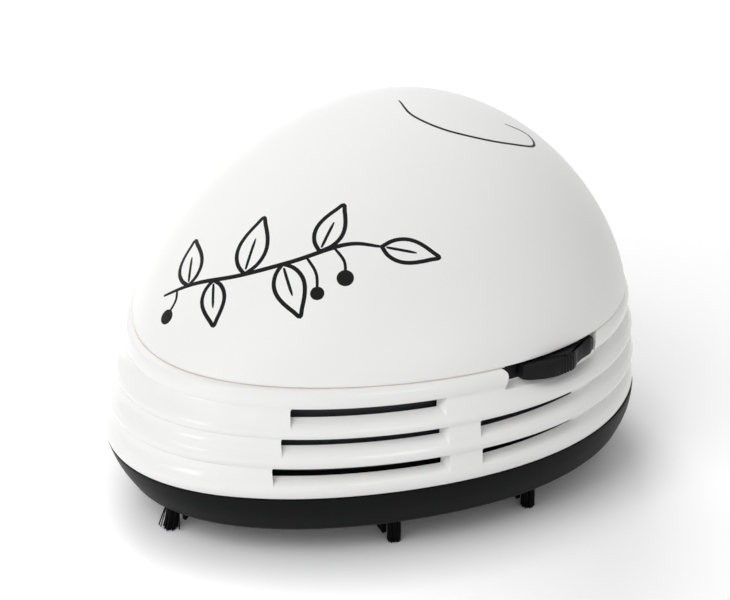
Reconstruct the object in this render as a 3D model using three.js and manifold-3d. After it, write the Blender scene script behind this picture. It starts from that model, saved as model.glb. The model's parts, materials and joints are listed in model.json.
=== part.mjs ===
// Desktop mini vacuum cleaner: a domed cover, a ribbed housing and a base tray on bristle tufts,
// with the fan, motor, cells and switch that they hold. Millimetres, +Z up, nose towards -Y.
// The origin lies on the table under the middle of the body's length.
import * as THREE from "three";
import { mergeVertices } from "three/addons/utils/BufferGeometryUtils.js";
import Module from "manifold-3d";

const wasm = await Module();
wasm.setup();

const fullTurn = 2 * Math.PI;

// Fits shared by all pieces
const gap = 0.3; // clearance between neighbouring pieces
const overrun = 4; // how far a cutter runs past what it cuts

// Body outline from above: an ellipse that is fuller towards the tail
const bodyLength = 115;
const bodyHalfWidth = 49;
const baseFullnessShare = 0.2;
const crownFullnessShare = 0.12;
const outlineSides = 48;

// Base tray
const brushReach = 6.1; // table to the tray's underside
const trayDepth = 9.6;
const trayWall = 2.2;
const trayFloor = 2;
const trayEdgeRadius = 1.4;
const trayNoseDraft = 5.1;
const trayTailDraft = 2.5;
const traySideDraft = 3.9;

// Ribbed housing, bottom rib first
const bottomRibHeight = 3;
const lowerRibHeight = 2.7;
const upperRibHeight = 2.4;
const topRibHeight = 3.8;
const grooveHeight = 3.2;
const grooveDepth = 0.6; // where a groove has no slot
const housingWall = 3.4; // behind a groove
const ribBulge = 0.25;
const ribBulgeShare = 0.4; // place of the bulge up a rib
const grooveFloorShare = 0.6; // place of a groove's deepest line up the groove
const noseSetback = 7.2; // how far the outline draws in from the seam to the dome
const tailSetback = 2;
const sideSetback = 1.96;
const noseSetbackShares = [0, 0.15, 0.387, 0.76, 1]; // at the lower edge of each rib and the top
const tailSetbackShares = [0, 0.19, 0.36, 0.64, 1];
const sideSetbackShares = [0, -0.08, 0.19, 0.81, 1];
const skirtDepth = 4; // the skirt that seats in the tray
const skirtWall = 1.5;
const collarHeight = 3; // the collar that seats in the dome
const collarWall = 1.5;

// Vent slots: turn 0 is the tail, 0.25 the right side and 0.5 the nose
const scoopDepth = 1.9; // the pocket outside each slot, under the rib above
const scoopLip = 0.9; // how far the pocket's ramp climbs to the slot's lower edge
// First and last turn of each slot on the right side, lowest groove first
const noseSlotSpans = [
  [0.2936, 0.395],
  [0.2957, 0.3921],
  [0.2986, 0.3905],
];
const tailSlotSpans = [
  [0.196, 0.2746],
  [0.196, 0.2769],
];

// Dome
const domeRise = 36.1;
const domeWall = 1.8;
const crownOffset = 16.45; // how far the crown lies behind the body's middle
const noseRake = THREE.MathUtils.degToRad(63.3);
const tailRake = THREE.MathUtils.degToRad(78.5);
const sideRake = THREE.MathUtils.degToRad(87.5);
const noseCurveShares = { low: 0.6, high: 0.33 };
const tailCurveShares = { low: 0.707, high: 0.42 };
const sideCurveShares = { low: 0.528, high: 0.45 };
const domeOuterBands = 9;
const domeInnerBands = 7;

// Brush tufts under the tray
const stripWidth = 4;
const stripThickness = 1;
const tuftRadius = 1.65;
const tuftSplay = 0.35; // how far the outer strands lean out at the table
const strandRadius = 0.2;
const strandRings = [1, 6, 13, 18];
const sideTuftInset = 4.5;
const noseTuftInset = 3.4;
const noseTuftLean = 1.1;
const tailTuftTurns = [-0.12, 0, 0.12];
const sideTuftTurns = [0.225, 0.322];
const noseTuftTurns = [0.5];
const finLength = 4.8; // the stiffening fin beside each tuft
const finDepth = 2.6;
const finThickness = 1.2;
const finGap = 0.6;

// Suction inlet and filter
const fanAxisY = 4;
const inletRadius = 11;
const inletWall = 1.3;
const inletFlange = 2.6;
const inletFlangeThickness = 1.2;
const inletHeight = 7.2; // the collar's height over the tray's underside
const filterRadius = 20;
const filterFrameHeight = 3;
const filterLedge = 3.6;
const filterLedgeThickness = 0.8;
const filterRim = 2.2;
const filterNetThickness = 0.5;

// Fan plate and impeller
const fanPlateRise = 2; // seam to the plate's underside
const fanPlateThickness = 1.6;
const fanEyeRadius = 14;
const filterSocketWall = 1.2;
const filterSocketDepth = 1.8;
const impellerRadius = 22;
const impellerRunningGap = 1.4;
const bladeHeight = 4.4;
const bladeThickness = 1;
const bladeCount = 12;
const bladeRootRadius = 6.5;
const bladeSweep = THREE.MathUtils.degToRad(42);
const backPlateThickness = 1;
const hubRadius = 3.6;
const hubOverBackPlate = 2;

// Motor
const shaftRadius = 1;
const canRadius = 10;
const canAcrossFlats = 15;
const canLength = 21;
const endCapLength = 3.2;
const endCapStep = 0.6;
const shaftEngagement = 5;
const bushRadius = 3;
const bushHeight = 1.3;
const terminalWidth = 2;
const terminalThickness = 0.5;
const terminalLength = 4;
const terminalOffset = 5.5;
const motorPlateThickness = 1.5;
const motorPlateRise = 2.9; // the impeller's back plate to the motor plate
const motorPostRadius = 3;
const motorPostOffset = 14.2; // motor axis to each post

// Battery deck
const deckThickness = 1.6;
const sleeveWall = 1.3;
const sleeveRiseShare = 0.8; // of the can's length that stands over the deck
const cellRadius = 7.25;
const cellLength = 50.5;
const cellNubRadius = 2.75;
const cellNubLength = 1.3;
const cellShoulder = 0.7;
const cellOffset = 17; // middle of the deck to each cell's axis
const saddleThickness = 2;
const saddleRiseShare = 0.6; // of the cell's radius
const saddleSpacingShare = 0.55; // of the cell's length
const endWallThickness = 1.6;
const endWallHeight = 10;
const endWallReach = 6; // past each cell's axis
const contactSpace = 3; // cell end to end wall
const contactThickness = 0.4;
const contactWidth = 6;
const contactTagHeight = 2; // over the leaf, for its lead
const contactHalfSpan = 4.5;

// Screws and the posts that they enter
const screwPostRadius = 3.2;
const screwPostInset = 8;
const screwPostTurns = [0, 0.45, -0.45]; // away from the slots, so that no post shows in them
const screwShankRadius = 1.1;
const screwHeadRadius = 2.3;
const screwHeadHeight = 1.3;
const screwLength = 7;
const screwSlotWidth = 0.6;
const screwSlotDepth = 0.6;
const webThickness = 1.6;
const webRoot = 0.9; // how far a post's web reaches into the housing's wall

// Inner leads
const leadRadius = 0.6;
const leadTouch = 0.1; // lead end to what it is soldered to
const leadOverWall = 1.5; // the deck's end wall to the middle of a lead that crosses it
const leadDrop = 3.8; // the switch body's inner face to the leads' holes in the deck
const leadSpacing = 4.4; // between the two leads at the switch
const leadClear = 1.4; // a lead's middle to a face that it passes

// Sides of round pieces, finest first
const boreSides = 32;
const turnedSides = 28;
const postSides = 24;
const smallSides = 20;
const shaftSides = 16;
const screwSides = 12;
const shankSides = 8;
const leadSides = 6;
const strandSides = 3;
const leadSteps = 16;
const bladeSteps = 4;
const canArcSteps = 8;
const cornerSteps = 4;

// Slide switch
const knobStart = 1.7; // Y of the knob's nose-side end
const knobLength = 19.3;
const knobTravel = 2.4;
const knobBack = 1; // how far the knob's flat back lies inside the widest outline
const knobEndStand = 0.6; // how far each stretch of the knob stands out of the outline
const knobCrownStand = 2.2;
const knobScoopStand = 0.8;
// Places along the knob, as shares of its length
const knobSlopeShare = 0.2;
const knobCrownShare = 0.38;
const firstSerrationShare = 0.4;
const lastCrownShare = 0.71;
const knobScoopShare = 0.78;
const knobRestShare = 0.88;
const knobChamfer = 1.2;
const knobNeckLength = 4;
const knobNeckHeight = 1.4;
const knobNeckReach = 7;
const serrationCount = 7;
const serrationPitch = 0.8;
const serrationDepth = 0.35;
const recessMargin = 0.6;
const recessDepth = 2.1;
const recessReveal = 0.1; // how far the recess stops short of its full depth at its floor
const ribEndReach = 2.4; // rounding of the rib's upper corners at the recess
const ribEndHeight = 1.9;
const switchBodyLength = 17;
const switchBodyDepth = 7.5;
const switchBodyHeight = 5.4;
const switchWallGap = 1.6; // outline's inner wall to the switch body
const switchTabThickness = 1.2;
const switchTabHeight = 3.5;

// Heights that follow
const traySeam = brushReach + trayDepth;
const housingBottom = traySeam + gap;
const lowerRibBottom = housingBottom + bottomRibHeight + grooveHeight;
const upperRibBottom = lowerRibBottom + lowerRibHeight + grooveHeight;
const topRibBottom = upperRibBottom + upperRibHeight + grooveHeight;
const housingTop = topRibBottom + topRibHeight;
const ribEdges = [housingBottom, lowerRibBottom, upperRibBottom, topRibBottom, housingTop];
const ribTops = [
  housingBottom + bottomRibHeight,
  lowerRibBottom + lowerRibHeight,
  upperRibBottom + upperRibHeight,
];
const innerInset = grooveDepth + housingWall;
const fanPlateBottom = traySeam + fanPlateRise;
const fanPlateTop = fanPlateBottom + fanPlateThickness;
const filterBottom = fanPlateBottom - gap - filterFrameHeight;
const bladeBottom = fanPlateTop + impellerRunningGap;
const backPlateTop = bladeBottom + bladeHeight + backPlateThickness;
const hubTop = backPlateTop + hubOverBackPlate;
const motorPlateBottom = backPlateTop + motorPlateRise;
const motorPlateTop = motorPlateBottom + motorPlateThickness;
const canBottom = motorPlateTop + gap;
const canTop = canBottom + canLength;
const deckBottom = housingTop;
const deckTop = deckBottom + deckThickness;
const cellAxisHeight = deckTop + gap + cellRadius;

// Materials

function finish(color, roughness, metalness) {
  return new THREE.MeshStandardMaterial({ color, roughness, metalness });
}

const whiteGloss = finish(0xf2f2f0, 0.25, 0);
const blackSatin = finish(0x26282a, 0.45, 0);
const knobBlack = finish(0x141416, 0.4, 0);
const nylonBlack = finish(0x101012, 0.6, 0);
const greyPlastic = finish(0x8c8f92, 0.5, 0);
const steel = finish(0xb9bcc0, 0.35, 1);
const nickel = finish(0xc9c6be, 0.3, 1);
const brass = finish(0xc2a15a, 0.35, 1);
const netGrey = finish(0x5a5d60, 0.8, 0);
const cellJacket = finish(0x3f5f52, 0.35, 0);
const redWire = finish(0x9c2a22, 0.45, 0);
const blackWire = finish(0x1b1b1d, 0.45, 0);

// Solids

function signedVolume(positions, index) {
  const [a, b, c] = [new THREE.Vector3(), new THREE.Vector3(), new THREE.Vector3()];
  let total = 0;
  for (let i = 0; i < index.length; i += 3) {
    a.fromArray(positions, 3 * index[i]);
    b.fromArray(positions, 3 * index[i + 1]);
    c.fromArray(positions, 3 * index[i + 2]);
    total += a.dot(b.cross(c));
  }
  return total;
}

// A closed geometry as a solid that can be joined and cut, its faces turned outwards.
function solid(geometry) {
  const bare = geometry.clone();
  bare.deleteAttribute("normal");
  bare.deleteAttribute("uv");
  const merged = mergeVertices(bare);
  const vertProperties = new Float32Array(merged.attributes.position.array);
  const triVerts = new Uint32Array(merged.index.array);
  if (signedVolume(vertProperties, triVerts) < 0) {
    for (let i = 0; i < triVerts.length; i += 3) {
      [triVerts[i + 1], triVerts[i + 2]] = [triVerts[i + 2], triVerts[i + 1]];
    }
  }
  return new wasm.Manifold(new wasm.Mesh({ numProp: 3, vertProperties, triVerts }));
}

function join(solids) {
  return solids.reduce((all, next) => all.add(next));
}

function cut(body, cutters) {
  return cutters.reduce((rest, cutter) => rest.subtract(cutter), body);
}

const model = new THREE.Group();

function addPiece(name, material, body, parent = model) {
  const { numProp, vertProperties, triVerts } = body.getMesh();
  const geometry = new THREE.BufferGeometry();
  const positions = new Float32Array((vertProperties.length / numProp) * 3);
  for (let i = 0; i < positions.length / 3; i++) {
    positions.set(vertProperties.subarray(i * numProp, i * numProp + 3), i * 3);
  }
  geometry.setAttribute("position", new THREE.BufferAttribute(positions, 3));
  geometry.setIndex(new THREE.BufferAttribute(triVerts, 1));
  const mesh = new THREE.Mesh(geometry, material);
  mesh.name = name;
  parent.add(mesh);
  return mesh;
}

function middleOf(ring) {
  const sum = ring.reduce((total, point) => total.add(point), new THREE.Vector3());
  return sum.divideScalar(ring.length);
}

// A skin through rings of equally many points. It wraps round from the last ring to the first,
// or each end is closed by a fan from a pole, which is the ring's middle unless it is given.
function loft(rings, wrapsRound = false, poles = [middleOf(rings[0]), middleOf(rings[rings.length - 1])]) {
  const count = rings[0].length;
  const positions = rings.flat().flatMap((point) => point.toArray());
  const index = [];
  const bands = wrapsRound ? rings.length : rings.length - 1;
  for (let band = 0; band < bands; band++) {
    const low = band * count;
    const high = ((band + 1) % rings.length) * count;
    for (let i = 0; i < count; i++) {
      const j = (i + 1) % count;
      index.push(low + i, high + j, low + j, low + i, high + i, high + j);
    }
  }
  if (!wrapsRound) {
    const last = (rings.length - 1) * count;
    const startPole = rings.length * count;
    const endPole = startPole + 1;
    poles.forEach((pole) => positions.push(...pole.toArray()));
    for (let i = 0; i < count; i++) {
      const j = (i + 1) % count;
      index.push(i, j, startPole, last + j, last + i, endPole);
    }
  }
  const geometry = new THREE.BufferGeometry();
  geometry.setAttribute("position", new THREE.Float32BufferAttribute(positions, 3));
  geometry.setIndex(index);
  return solid(geometry);
}

// An upright round bar, tapered if it has a second radius.
function post(radius, bottom, top, x, y, sides = postSides, topRadius = radius) {
  const geometry = new THREE.CylinderGeometry(topRadius, radius, top - bottom, sides);
  geometry.rotateX(fullTurn / 4);
  geometry.translate(x, y, (bottom + top) / 2);
  return solid(geometry);
}

function block(low, high) {
  const geometry = new THREE.BoxGeometry(high[0] - low[0], high[1] - low[1], high[2] - low[2]);
  geometry.translate((low[0] + high[0]) / 2, (low[1] + high[1]) / 2, (low[2] + high[2]) / 2);
  return solid(geometry);
}

function turned(profile, x, y, sides = turnedSides) {
  const points = profile.map(([radius, height]) => new THREE.Vector2(radius, height));
  const geometry = new THREE.LatheGeometry(points, sides);
  geometry.rotateX(fullTurn / 4);
  geometry.translate(x, y, 0);
  return solid(geometry);
}

function extruded(points, bottom, top) {
  const shape = new THREE.Shape(points.map(([x, y]) => new THREE.Vector2(x, y)));
  const geometry = new THREE.ExtrudeGeometry(shape, { depth: top - bottom, bevelEnabled: false });
  geometry.translate(0, 0, bottom);
  return solid(geometry);
}

// Outlines: where the body's skin lies at a height, drawn in by an inset

const lerp = THREE.MathUtils.lerp;

const seamOutline = { nose: -bodyLength / 2, tail: bodyLength / 2, side: bodyHalfWidth };
const undersideOutline = {
  nose: seamOutline.nose + trayNoseDraft,
  tail: seamOutline.tail - trayTailDraft,
  side: seamOutline.side - traySideDraft,
};
const ribOutlines = ribEdges.map((height, i) => ({
  height,
  nose: seamOutline.nose + noseSetback * noseSetbackShares[i],
  tail: seamOutline.tail - tailSetback * tailSetbackShares[i],
  side: seamOutline.side - sideSetback * sideSetbackShares[i],
}));
const domeOutline = ribOutlines[ribOutlines.length - 1];

function between(low, high, share) {
  return {
    nose: lerp(low.nose, high.nose, share),
    tail: lerp(low.tail, high.tail, share),
    side: lerp(low.side, high.side, share),
  };
}

// Where a dome edge that starts at `edge` and ends level at `crown` lies at a height.
function edgeAt(edge, crown, rise, rake, shares, height) {
  const inwards = Math.sign(crown - edge);
  const run = [
    edge,
    edge + inwards * Math.cos(rake) * shares.low * rise,
    lerp(crown, edge, shares.high),
    crown,
  ];
  const lift = [0, Math.sin(rake) * shares.low * rise, rise, rise];
  const along = (values, t) => {
    const s = 1 - t;
    return (
      s * s * s * values[0] + 3 * s * s * t * values[1] + 3 * s * t * t * values[2] + t * t * t * values[3]
    );
  };
  let [low, high] = [0, 1];
  for (let step = 0; step < 40; step++) {
    const middle = (low + high) / 2;
    if (along(lift, middle) < height) low = middle;
    else high = middle;
  }
  return along(run, (low + high) / 2);
}

function outlineAt(height, inset) {
  let outline;
  let fullness = baseFullnessShare;
  if (height > housingTop) {
    const rise = domeRise - inset;
    const lift = height - housingTop;
    const drawnIn = {
      nose: domeOutline.nose + inset,
      tail: domeOutline.tail - inset,
      side: domeOutline.side - inset,
    };
    fullness = lerp(baseFullnessShare, crownFullnessShare, lift / rise);
    return {
      nose: edgeAt(drawnIn.nose, crownOffset, rise, noseRake, noseCurveShares, lift),
      tail: edgeAt(drawnIn.tail, crownOffset, rise, tailRake, tailCurveShares, lift),
      side: edgeAt(drawnIn.side, 0, rise, sideRake, sideCurveShares, lift),
      fullness,
    };
  }
  if (height < housingBottom) {
    const share = Math.min(1, (traySeam - height) / trayDepth);
    outline = between(seamOutline, undersideOutline, Math.max(0, share));
  } else {
    const above = ribOutlines.findIndex((level) => level.height >= height);
    const high = Math.max(1, above);
    const [lower, upper] = [ribOutlines[high - 1], ribOutlines[high]];
    outline = between(lower, upper, (height - lower.height) / (upper.height - lower.height));
  }
  return {
    nose: outline.nose + inset,
    tail: outline.tail - inset,
    side: outline.side - inset,
    fullness,
  };
}

// The point of the skin at a share of a turn: 0 is the tail, 0.25 the right side, 0.5 the nose.
function skinPoint(turn, inset, height) {
  const { nose, tail, side, fullness } = outlineAt(height, inset);
  const angle = turn * fullTurn;
  return new THREE.Vector3(
    side * Math.sin(angle) * (1 + fullness * Math.cos(angle)),
    (tail + nose) / 2 + ((tail - nose) / 2) * Math.cos(angle),
    height,
  );
}

function skinRing(inset, height) {
  return Array.from({ length: outlineSides }, (_, i) => skinPoint(i / outlineSides, inset, height));
}

function skinShell(profile, wrapsRound = false, poles = undefined) {
  const rings = profile.map(([inset, height]) => skinRing(inset, height));
  return loft(rings, wrapsRound, poles);
}

// A plate whose edge follows the skin.
function skinPlate(inset, bottom, top) {
  return skinShell([
    [inset, bottom],
    [inset, top],
  ]);
}


// A point on the straight side that the shells have between two corners of their rings.
function sidePoint(turn, inset, height) {
  const corner = Math.floor(turn * outlineSides);
  const [from, to] = [corner, corner + 1].map((i) => skinPoint(i / outlineSides, inset, height));
  return from.lerp(to, turn * outlineSides - corner);
}

// A bar along the shells' sides between two turns. Its section is a list of depths and heights,
// and the depths run level towards X = 0, as the mould's side cores do.
function skinBar([first, last], section) {
  const inwards = -Math.sign(first);
  const turns = [first];
  for (let i = Math.ceil(first * outlineSides); i < last * outlineSides; i++) {
    turns.push(i / outlineSides);
  }
  turns.push(last);
  return loft(
    turns.map((turn) =>
      section.map(([depth, height]) => {
        const place = sidePoint(turn, 0, height);
        return place.setX(place.x + inwards * depth);
      }),
    ),
  );
}

// Dome cover

// Rings of the dome's skin: at its lower edge, just over the collar and then ever closer upwards.
function domeProfile(inset, bands) {
  const low = housingTop + collarHeight + gap;
  const rise = housingTop + domeRise - inset - low;
  const upper = Array.from({ length: bands }, (_, i) => {
    const angle = ((i / bands) * fullTurn) / 4;
    return [inset, low + rise * Math.sin(angle)];
  });
  return [[inset, housingTop + gap], ...upper];
}

function addDomeCover() {
  const inner = domeProfile(domeWall, domeInnerBands).reverse();
  const outer = domeProfile(0, domeOuterBands);
  const crown = (inset) => new THREE.Vector3(0, crownOffset, housingTop + domeRise - inset);
  const body = skinShell([...inner, ...outer], false, [crown(domeWall), crown(0)]);
  addPiece("dome_cover", whiteGloss, body);
}

// Ribbed housing

// A rib from its sharp lower edge over its bulge to its rounded upper corner.
function ribProfile(bottom, top) {
  return [
    [0, bottom],
    [-ribBulge, lerp(bottom, top, ribBulgeShare)],
    [0, top],
  ];
}

function housingShell() {
  const skirtBottom = traySeam - skirtDepth;
  const skirtInset = innerInset - skirtWall;
  const collarInset = domeWall + gap;
  const profile = [
    [skirtInset, skirtBottom],
    [skirtInset, traySeam],
    [skirtInset, housingBottom],
  ];
  ribTops.forEach((top, i) => {
    const grooveFloor = lerp(top, ribEdges[i + 1], grooveFloorShare);
    profile.push(...ribProfile(ribEdges[i], top), [grooveDepth, grooveFloor]);
  });
  profile.push(
    ...ribProfile(topRibBottom, housingTop),
    [collarInset, housingTop],
    [collarInset, housingTop + collarHeight],
    [collarInset + collarWall, housingTop + collarHeight],
    [collarInset + collarWall, housingTop - gap],
    [innerInset, housingTop - 2 * gap],
    [innerInset, topRibBottom],
    [innerInset, upperRibBottom],
    [innerInset, lowerRibBottom],
    [innerInset, housingBottom],
    [innerInset, skirtBottom],
  );
  return skinShell(profile, true);
}

// Each vent slot opens at the back of a pocket that ramps in from the rib below and ends flat
// under the rib above. They are alike on both sides.
function ventCutters() {
  const cutters = [];
  ribTops.forEach((low, groove) => {
    const high = ribEdges[groove + 1];
    const pocket = [
      [-overrun, low - (scoopLip * overrun) / scoopDepth],
      [scoopDepth, low + scoopLip],
      [innerInset + overrun, low + scoopLip],
      [innerInset + overrun, high],
      [-overrun, high],
    ];
    for (const spans of [noseSlotSpans, tailSlotSpans]) {
      if (!spans[groove]) continue;
      const [start, end] = spans[groove];
      cutters.push(skinBar([start, end], pocket), skinBar([-end, -start], pocket));
    }
  });
  return cutters;
}

// The gap in the top rib that the knob slides in, and the window for its neck.
function recessSpan() {
  return [knobStart - knobTravel - recessMargin, knobStart + knobLength + recessMargin];
}

// The block that the recess takes out, wider at the top where the rib's corners are rounded.
function recessBlock(near, far) {
  const [start, end] = recessSpan();
  const section = (height, spread) =>
    [
      [near, start - spread],
      [far, start - spread],
      [far, end + spread],
      [near, end + spread],
    ].map(([x, y]) => new THREE.Vector3(x, y, height));
  const corners = Array.from({ length: cornerSteps + 1 }, (_, i) => {
    const angle = ((i / cornerSteps) * fullTurn) / 4;
    const height = housingTop - ribEndHeight * (1 - Math.sin(angle));
    return section(height, ribEndReach * (1 - Math.cos(angle)));
  });
  return loft([
    section(topRibBottom - gap, 0),
    ...corners,
    section(housingTop + gap / 2, ribEndReach),
  ]);
}

function recessCutters() {
  const [start, end] = recessSpan();
  const wide = bodyHalfWidth + overrun;
  const floor = skinPoint(0.25, recessDepth, housingTop).x;
  const inside = skinPoint(0.25, innerInset + overrun, housingTop).x;
  const depth = recessDepth - recessReveal;
  const outside = skinPlate(depth, topRibBottom - overrun, housingTop + overrun);
  const window = block([inside, start, topRibBottom + gap], [wide, end, housingTop - 2 * gap]);
  return [recessBlock(floor - gap, wide).subtract(outside), window];
}

function screwPosts() {
  return screwPostTurns.map((turn) => {
    const place = skinPoint(turn, screwPostInset, housingTop);
    return { turn, x: place.x, y: place.y };
  });
}

function housingPosts() {
  const [bottom, top] = [fanPlateTop + gap, deckBottom - gap];
  const levels = [bottom, lowerRibBottom, upperRibBottom, topRibBottom, top];
  const inside = skinShell(levels.map((height) => [innerInset - webRoot, height]));
  return screwPosts().map(({ turn, x, y }) => {
    const foot = skinPoint(turn, 0, fanPlateTop);
    const reach = Math.hypot(foot.x - x, foot.y - y);
    const web = new THREE.BoxGeometry(reach, webThickness, top - bottom);
    web.translate(reach / 2, 0, (bottom + top) / 2);
    web.rotateZ(Math.atan2(foot.y - y, foot.x - x));
    web.translate(x, y, 0);
    const bore = screwShankRadius + gap;
    const depth = screwLength + gap;
    return solid(web)
      .add(post(screwPostRadius, bottom, top, x, y))
      .intersect(inside)
      .subtract(post(bore, bottom - overrun, bottom + depth, x, y, screwSides))
      .subtract(post(bore, top - depth, top + overrun, x, y, screwSides));
  });
}

function addHousing() {
  const shell = cut(housingShell(), [...ventCutters(), ...recessCutters()]);
  addPiece("rib_housing", whiteGloss, join([shell, ...housingPosts()]));
}

// Brush tufts: each strip carries its tufts in a channel under the tray

const brushes = [
  { name: "brush_front", turns: noseTuftTurns, inset: noseTuftInset, lean: noseTuftLean },
  { name: "brush_right", turns: sideTuftTurns, inset: sideTuftInset, lean: 0 },
  { name: "brush_left", turns: sideTuftTurns.map((turn) => -turn), inset: sideTuftInset, lean: 0 },
  { name: "brush_rear", turns: tailTuftTurns, inset: sideTuftInset, lean: 0 },
];

// How many turns a length along the skin takes at a place.
function turnsFor(length, turn, inset) {
  const step = 1 / outlineSides;
  const run = skinPoint(turn - step, inset, brushReach).distanceTo(
    skinPoint(turn + step, inset, brushReach),
  );
  return (length * 2 * step) / run;
}

// The strip's span in turns, past its outer tufts by half its width and a margin.
function stripSpan({ turns, inset }, margin) {
  const [first, last] = [Math.min(...turns), Math.max(...turns)];
  const reach = stripWidth / 2 + margin;
  return [first - turnsFor(reach, first, inset), last + turnsFor(reach, last, inset)];
}

// An upright bar that follows the underside's outline.
function stripBar(brush, heights, margin) {
  const half = stripWidth / 2 + margin;
  const [first, last] = stripSpan(brush, margin);
  const steps = Math.max(4, Math.ceil((last - first) * outlineSides));
  const sections = Array.from({ length: steps + 1 }, (_, i) => {
    const turn = lerp(first, last, i / steps);
    const outer = skinPoint(turn, brush.inset - half, brushReach);
    const inner = skinPoint(turn, brush.inset + half, brushReach);
    return [
      outer.clone().setZ(heights[0]),
      inner.clone().setZ(heights[0]),
      inner.setZ(heights[1]),
      outer.setZ(heights[1]),
    ];
  });
  return loft(sections);
}

// A strand is a three-sided bar that ends flat on the table.
function strand(root, tip) {
  const ring = (middle) =>
    Array.from({ length: strandSides }, (_, i) => {
      const angle = (i / strandSides) * fullTurn;
      const offset = new THREE.Vector3(Math.cos(angle), Math.sin(angle), 0);
      return offset.multiplyScalar(strandRadius).add(middle);
    });
  return loft([ring(tip), ring(root)]);
}

function tuft(turn, { inset, lean }) {
  const rootHeight = brushReach + stripThickness / 2;
  const middle = skinPoint(turn, inset, brushReach);
  const outwards = skinPoint(turn, 0, brushReach).sub(middle).normalize();
  return strandRings.flatMap((count, ringIndex) => {
    const share = ringIndex / (strandRings.length - 1);
    return Array.from({ length: count }, (_, i) => {
      const angle = (i / count) * fullTurn;
      const spoke = new THREE.Vector3(Math.cos(angle), Math.sin(angle), 0);
      const root = middle.clone().addScaledVector(spoke, tuftRadius * share).setZ(rootHeight);
      const tip = root.clone().addScaledVector(spoke, tuftSplay * share);
      return strand(root, tip.addScaledVector(outwards, lean).setZ(0));
    });
  });
}

function addBrushes() {
  for (const brush of brushes) {
    const strip = stripBar(brush, [brushReach, brushReach + stripThickness], 0);
    const strands = brush.turns.flatMap((turn) => tuft(turn, brush));
    addPiece(brush.name, nylonBlack, join([strip, ...strands]));
  }
}

// Base tray

// A thin triangular fin that stiffens the tray beside a tuft, on its inner side.
function tuftFin(turn, { inset, lean }) {
  const middle = skinPoint(turn, inset, brushReach);
  const inwards = skinPoint(turn, inset + 1, brushReach).sub(middle).normalize();
  const start = tuftRadius + tuftSplay + strandRadius + finGap + (lean ? 0 : gap);
  const top = stripThickness + 2 * gap;
  const shape = new THREE.Shape();
  shape.moveTo(start, -finDepth);
  shape.lineTo(start + finLength, 0);
  shape.lineTo(start + finLength, top);
  shape.lineTo(start, top);
  const fin = new THREE.ExtrudeGeometry(shape, { depth: finThickness, bevelEnabled: false });
  fin.translate(0, 0, -finThickness / 2);
  fin.rotateX(fullTurn / 4);
  fin.rotateZ(Math.atan2(inwards.y, inwards.x));
  fin.translate(middle.x, middle.y, brushReach);
  return solid(fin);
}

function addBaseTray() {
  const bottom = brushReach;
  const edge = trayEdgeRadius;
  const shell = skinShell([
    [edge, bottom],
    [edge * (1 - Math.SQRT1_2), bottom + edge * (1 - Math.SQRT1_2)],
    [0, bottom + edge],
    [0, traySeam],
    [trayWall, traySeam],
    [trayWall, bottom + trayFloor],
  ]);
  const bore = post(inletRadius + inletWall + gap, 0, traySeam, 0, fanAxisY, boreSides);
  const channels = brushes.map((brush) =>
    stripBar(brush, [bottom - overrun, bottom + stripThickness + gap], gap),
  );
  const fins = brushes.flatMap((brush) => brush.turns.map((turn) => tuftFin(turn, brush)));
  addPiece("base_tray", blackSatin, join([cut(shell, [bore, ...channels]), ...fins]));
}

// Suction inlet, filter and fan plate

function addInlet() {
  const inner = inletRadius;
  const outer = inletRadius + inletWall;
  const flangeBottom = brushReach + trayFloor + gap;
  const flangeTop = flangeBottom + inletFlangeThickness;
  const top = brushReach + inletHeight;
  const profile = [
    [inner, brushReach + gap],
    [outer, brushReach + gap],
    [outer, flangeBottom],
    [outer + inletFlange, flangeBottom],
    [outer + inletFlange, flangeTop],
    [outer, flangeTop],
    [inner + inletWall / 2, top],
    [inner, top],
    [inner, brushReach + gap],
  ];
  addPiece("inlet_collar", blackSatin, turned(profile, 0, fanAxisY));
}

function addFilter() {
  const inner = filterRadius - filterLedge;
  const rim = filterRadius - filterRim;
  const ledgeTop = filterBottom + filterLedgeThickness;
  const frame = [
    [inner, filterBottom],
    [filterRadius, filterBottom],
    [filterRadius, filterBottom + filterFrameHeight],
    [rim, filterBottom + filterFrameHeight],
    [rim, ledgeTop],
    [inner, ledgeTop],
    [inner, filterBottom],
  ];
  addPiece("filter_frame", greyPlastic, turned(frame, 0, fanAxisY));
  const netBottom = ledgeTop + gap;
  const net = post(rim - gap, netBottom, netBottom + filterNetThickness, 0, fanAxisY, boreSides);
  addPiece("filter_net", netGrey, net);
}

function addFanPlate() {
  const plate = skinPlate(innerInset + gap, fanPlateBottom, fanPlateTop);
  const socketInner = filterRadius + gap;
  const socketBottom = fanPlateBottom - filterSocketDepth;
  const socket = turned(
    [
      [socketInner, socketBottom],
      [socketInner + filterSocketWall, socketBottom],
      [socketInner + filterSocketWall, fanPlateBottom + gap],
      [socketInner, fanPlateBottom + gap],
      [socketInner, socketBottom],
    ],
    0,
    fanAxisY,
  );
  const [below, above] = [fanPlateBottom - overrun, fanPlateTop + overrun];
  const eye = post(fanEyeRadius, below, above, 0, fanAxisY, boreSides);
  const holes = screwPosts().map(({ x, y }) =>
    post(screwShankRadius + gap, below, above, x, y, screwSides),
  );
  addPiece("fan_plate", blackSatin, cut(join([plate, socket]), [eye, ...holes]));
}

// Impeller: swept blades hang from the back plate round the hub

function bladeOutline() {
  const side = (offset) =>
    Array.from({ length: bladeSteps + 1 }, (_, i) => {
      const share = i / bladeSteps;
      const radius = lerp(bladeRootRadius, impellerRadius - gap, share);
      const angle = bladeSweep * share + offset / radius;
      return [radius * Math.cos(angle), radius * Math.sin(angle)];
    });
  return [...side(-bladeThickness / 2), ...side(bladeThickness / 2).reverse()];
}

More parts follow.
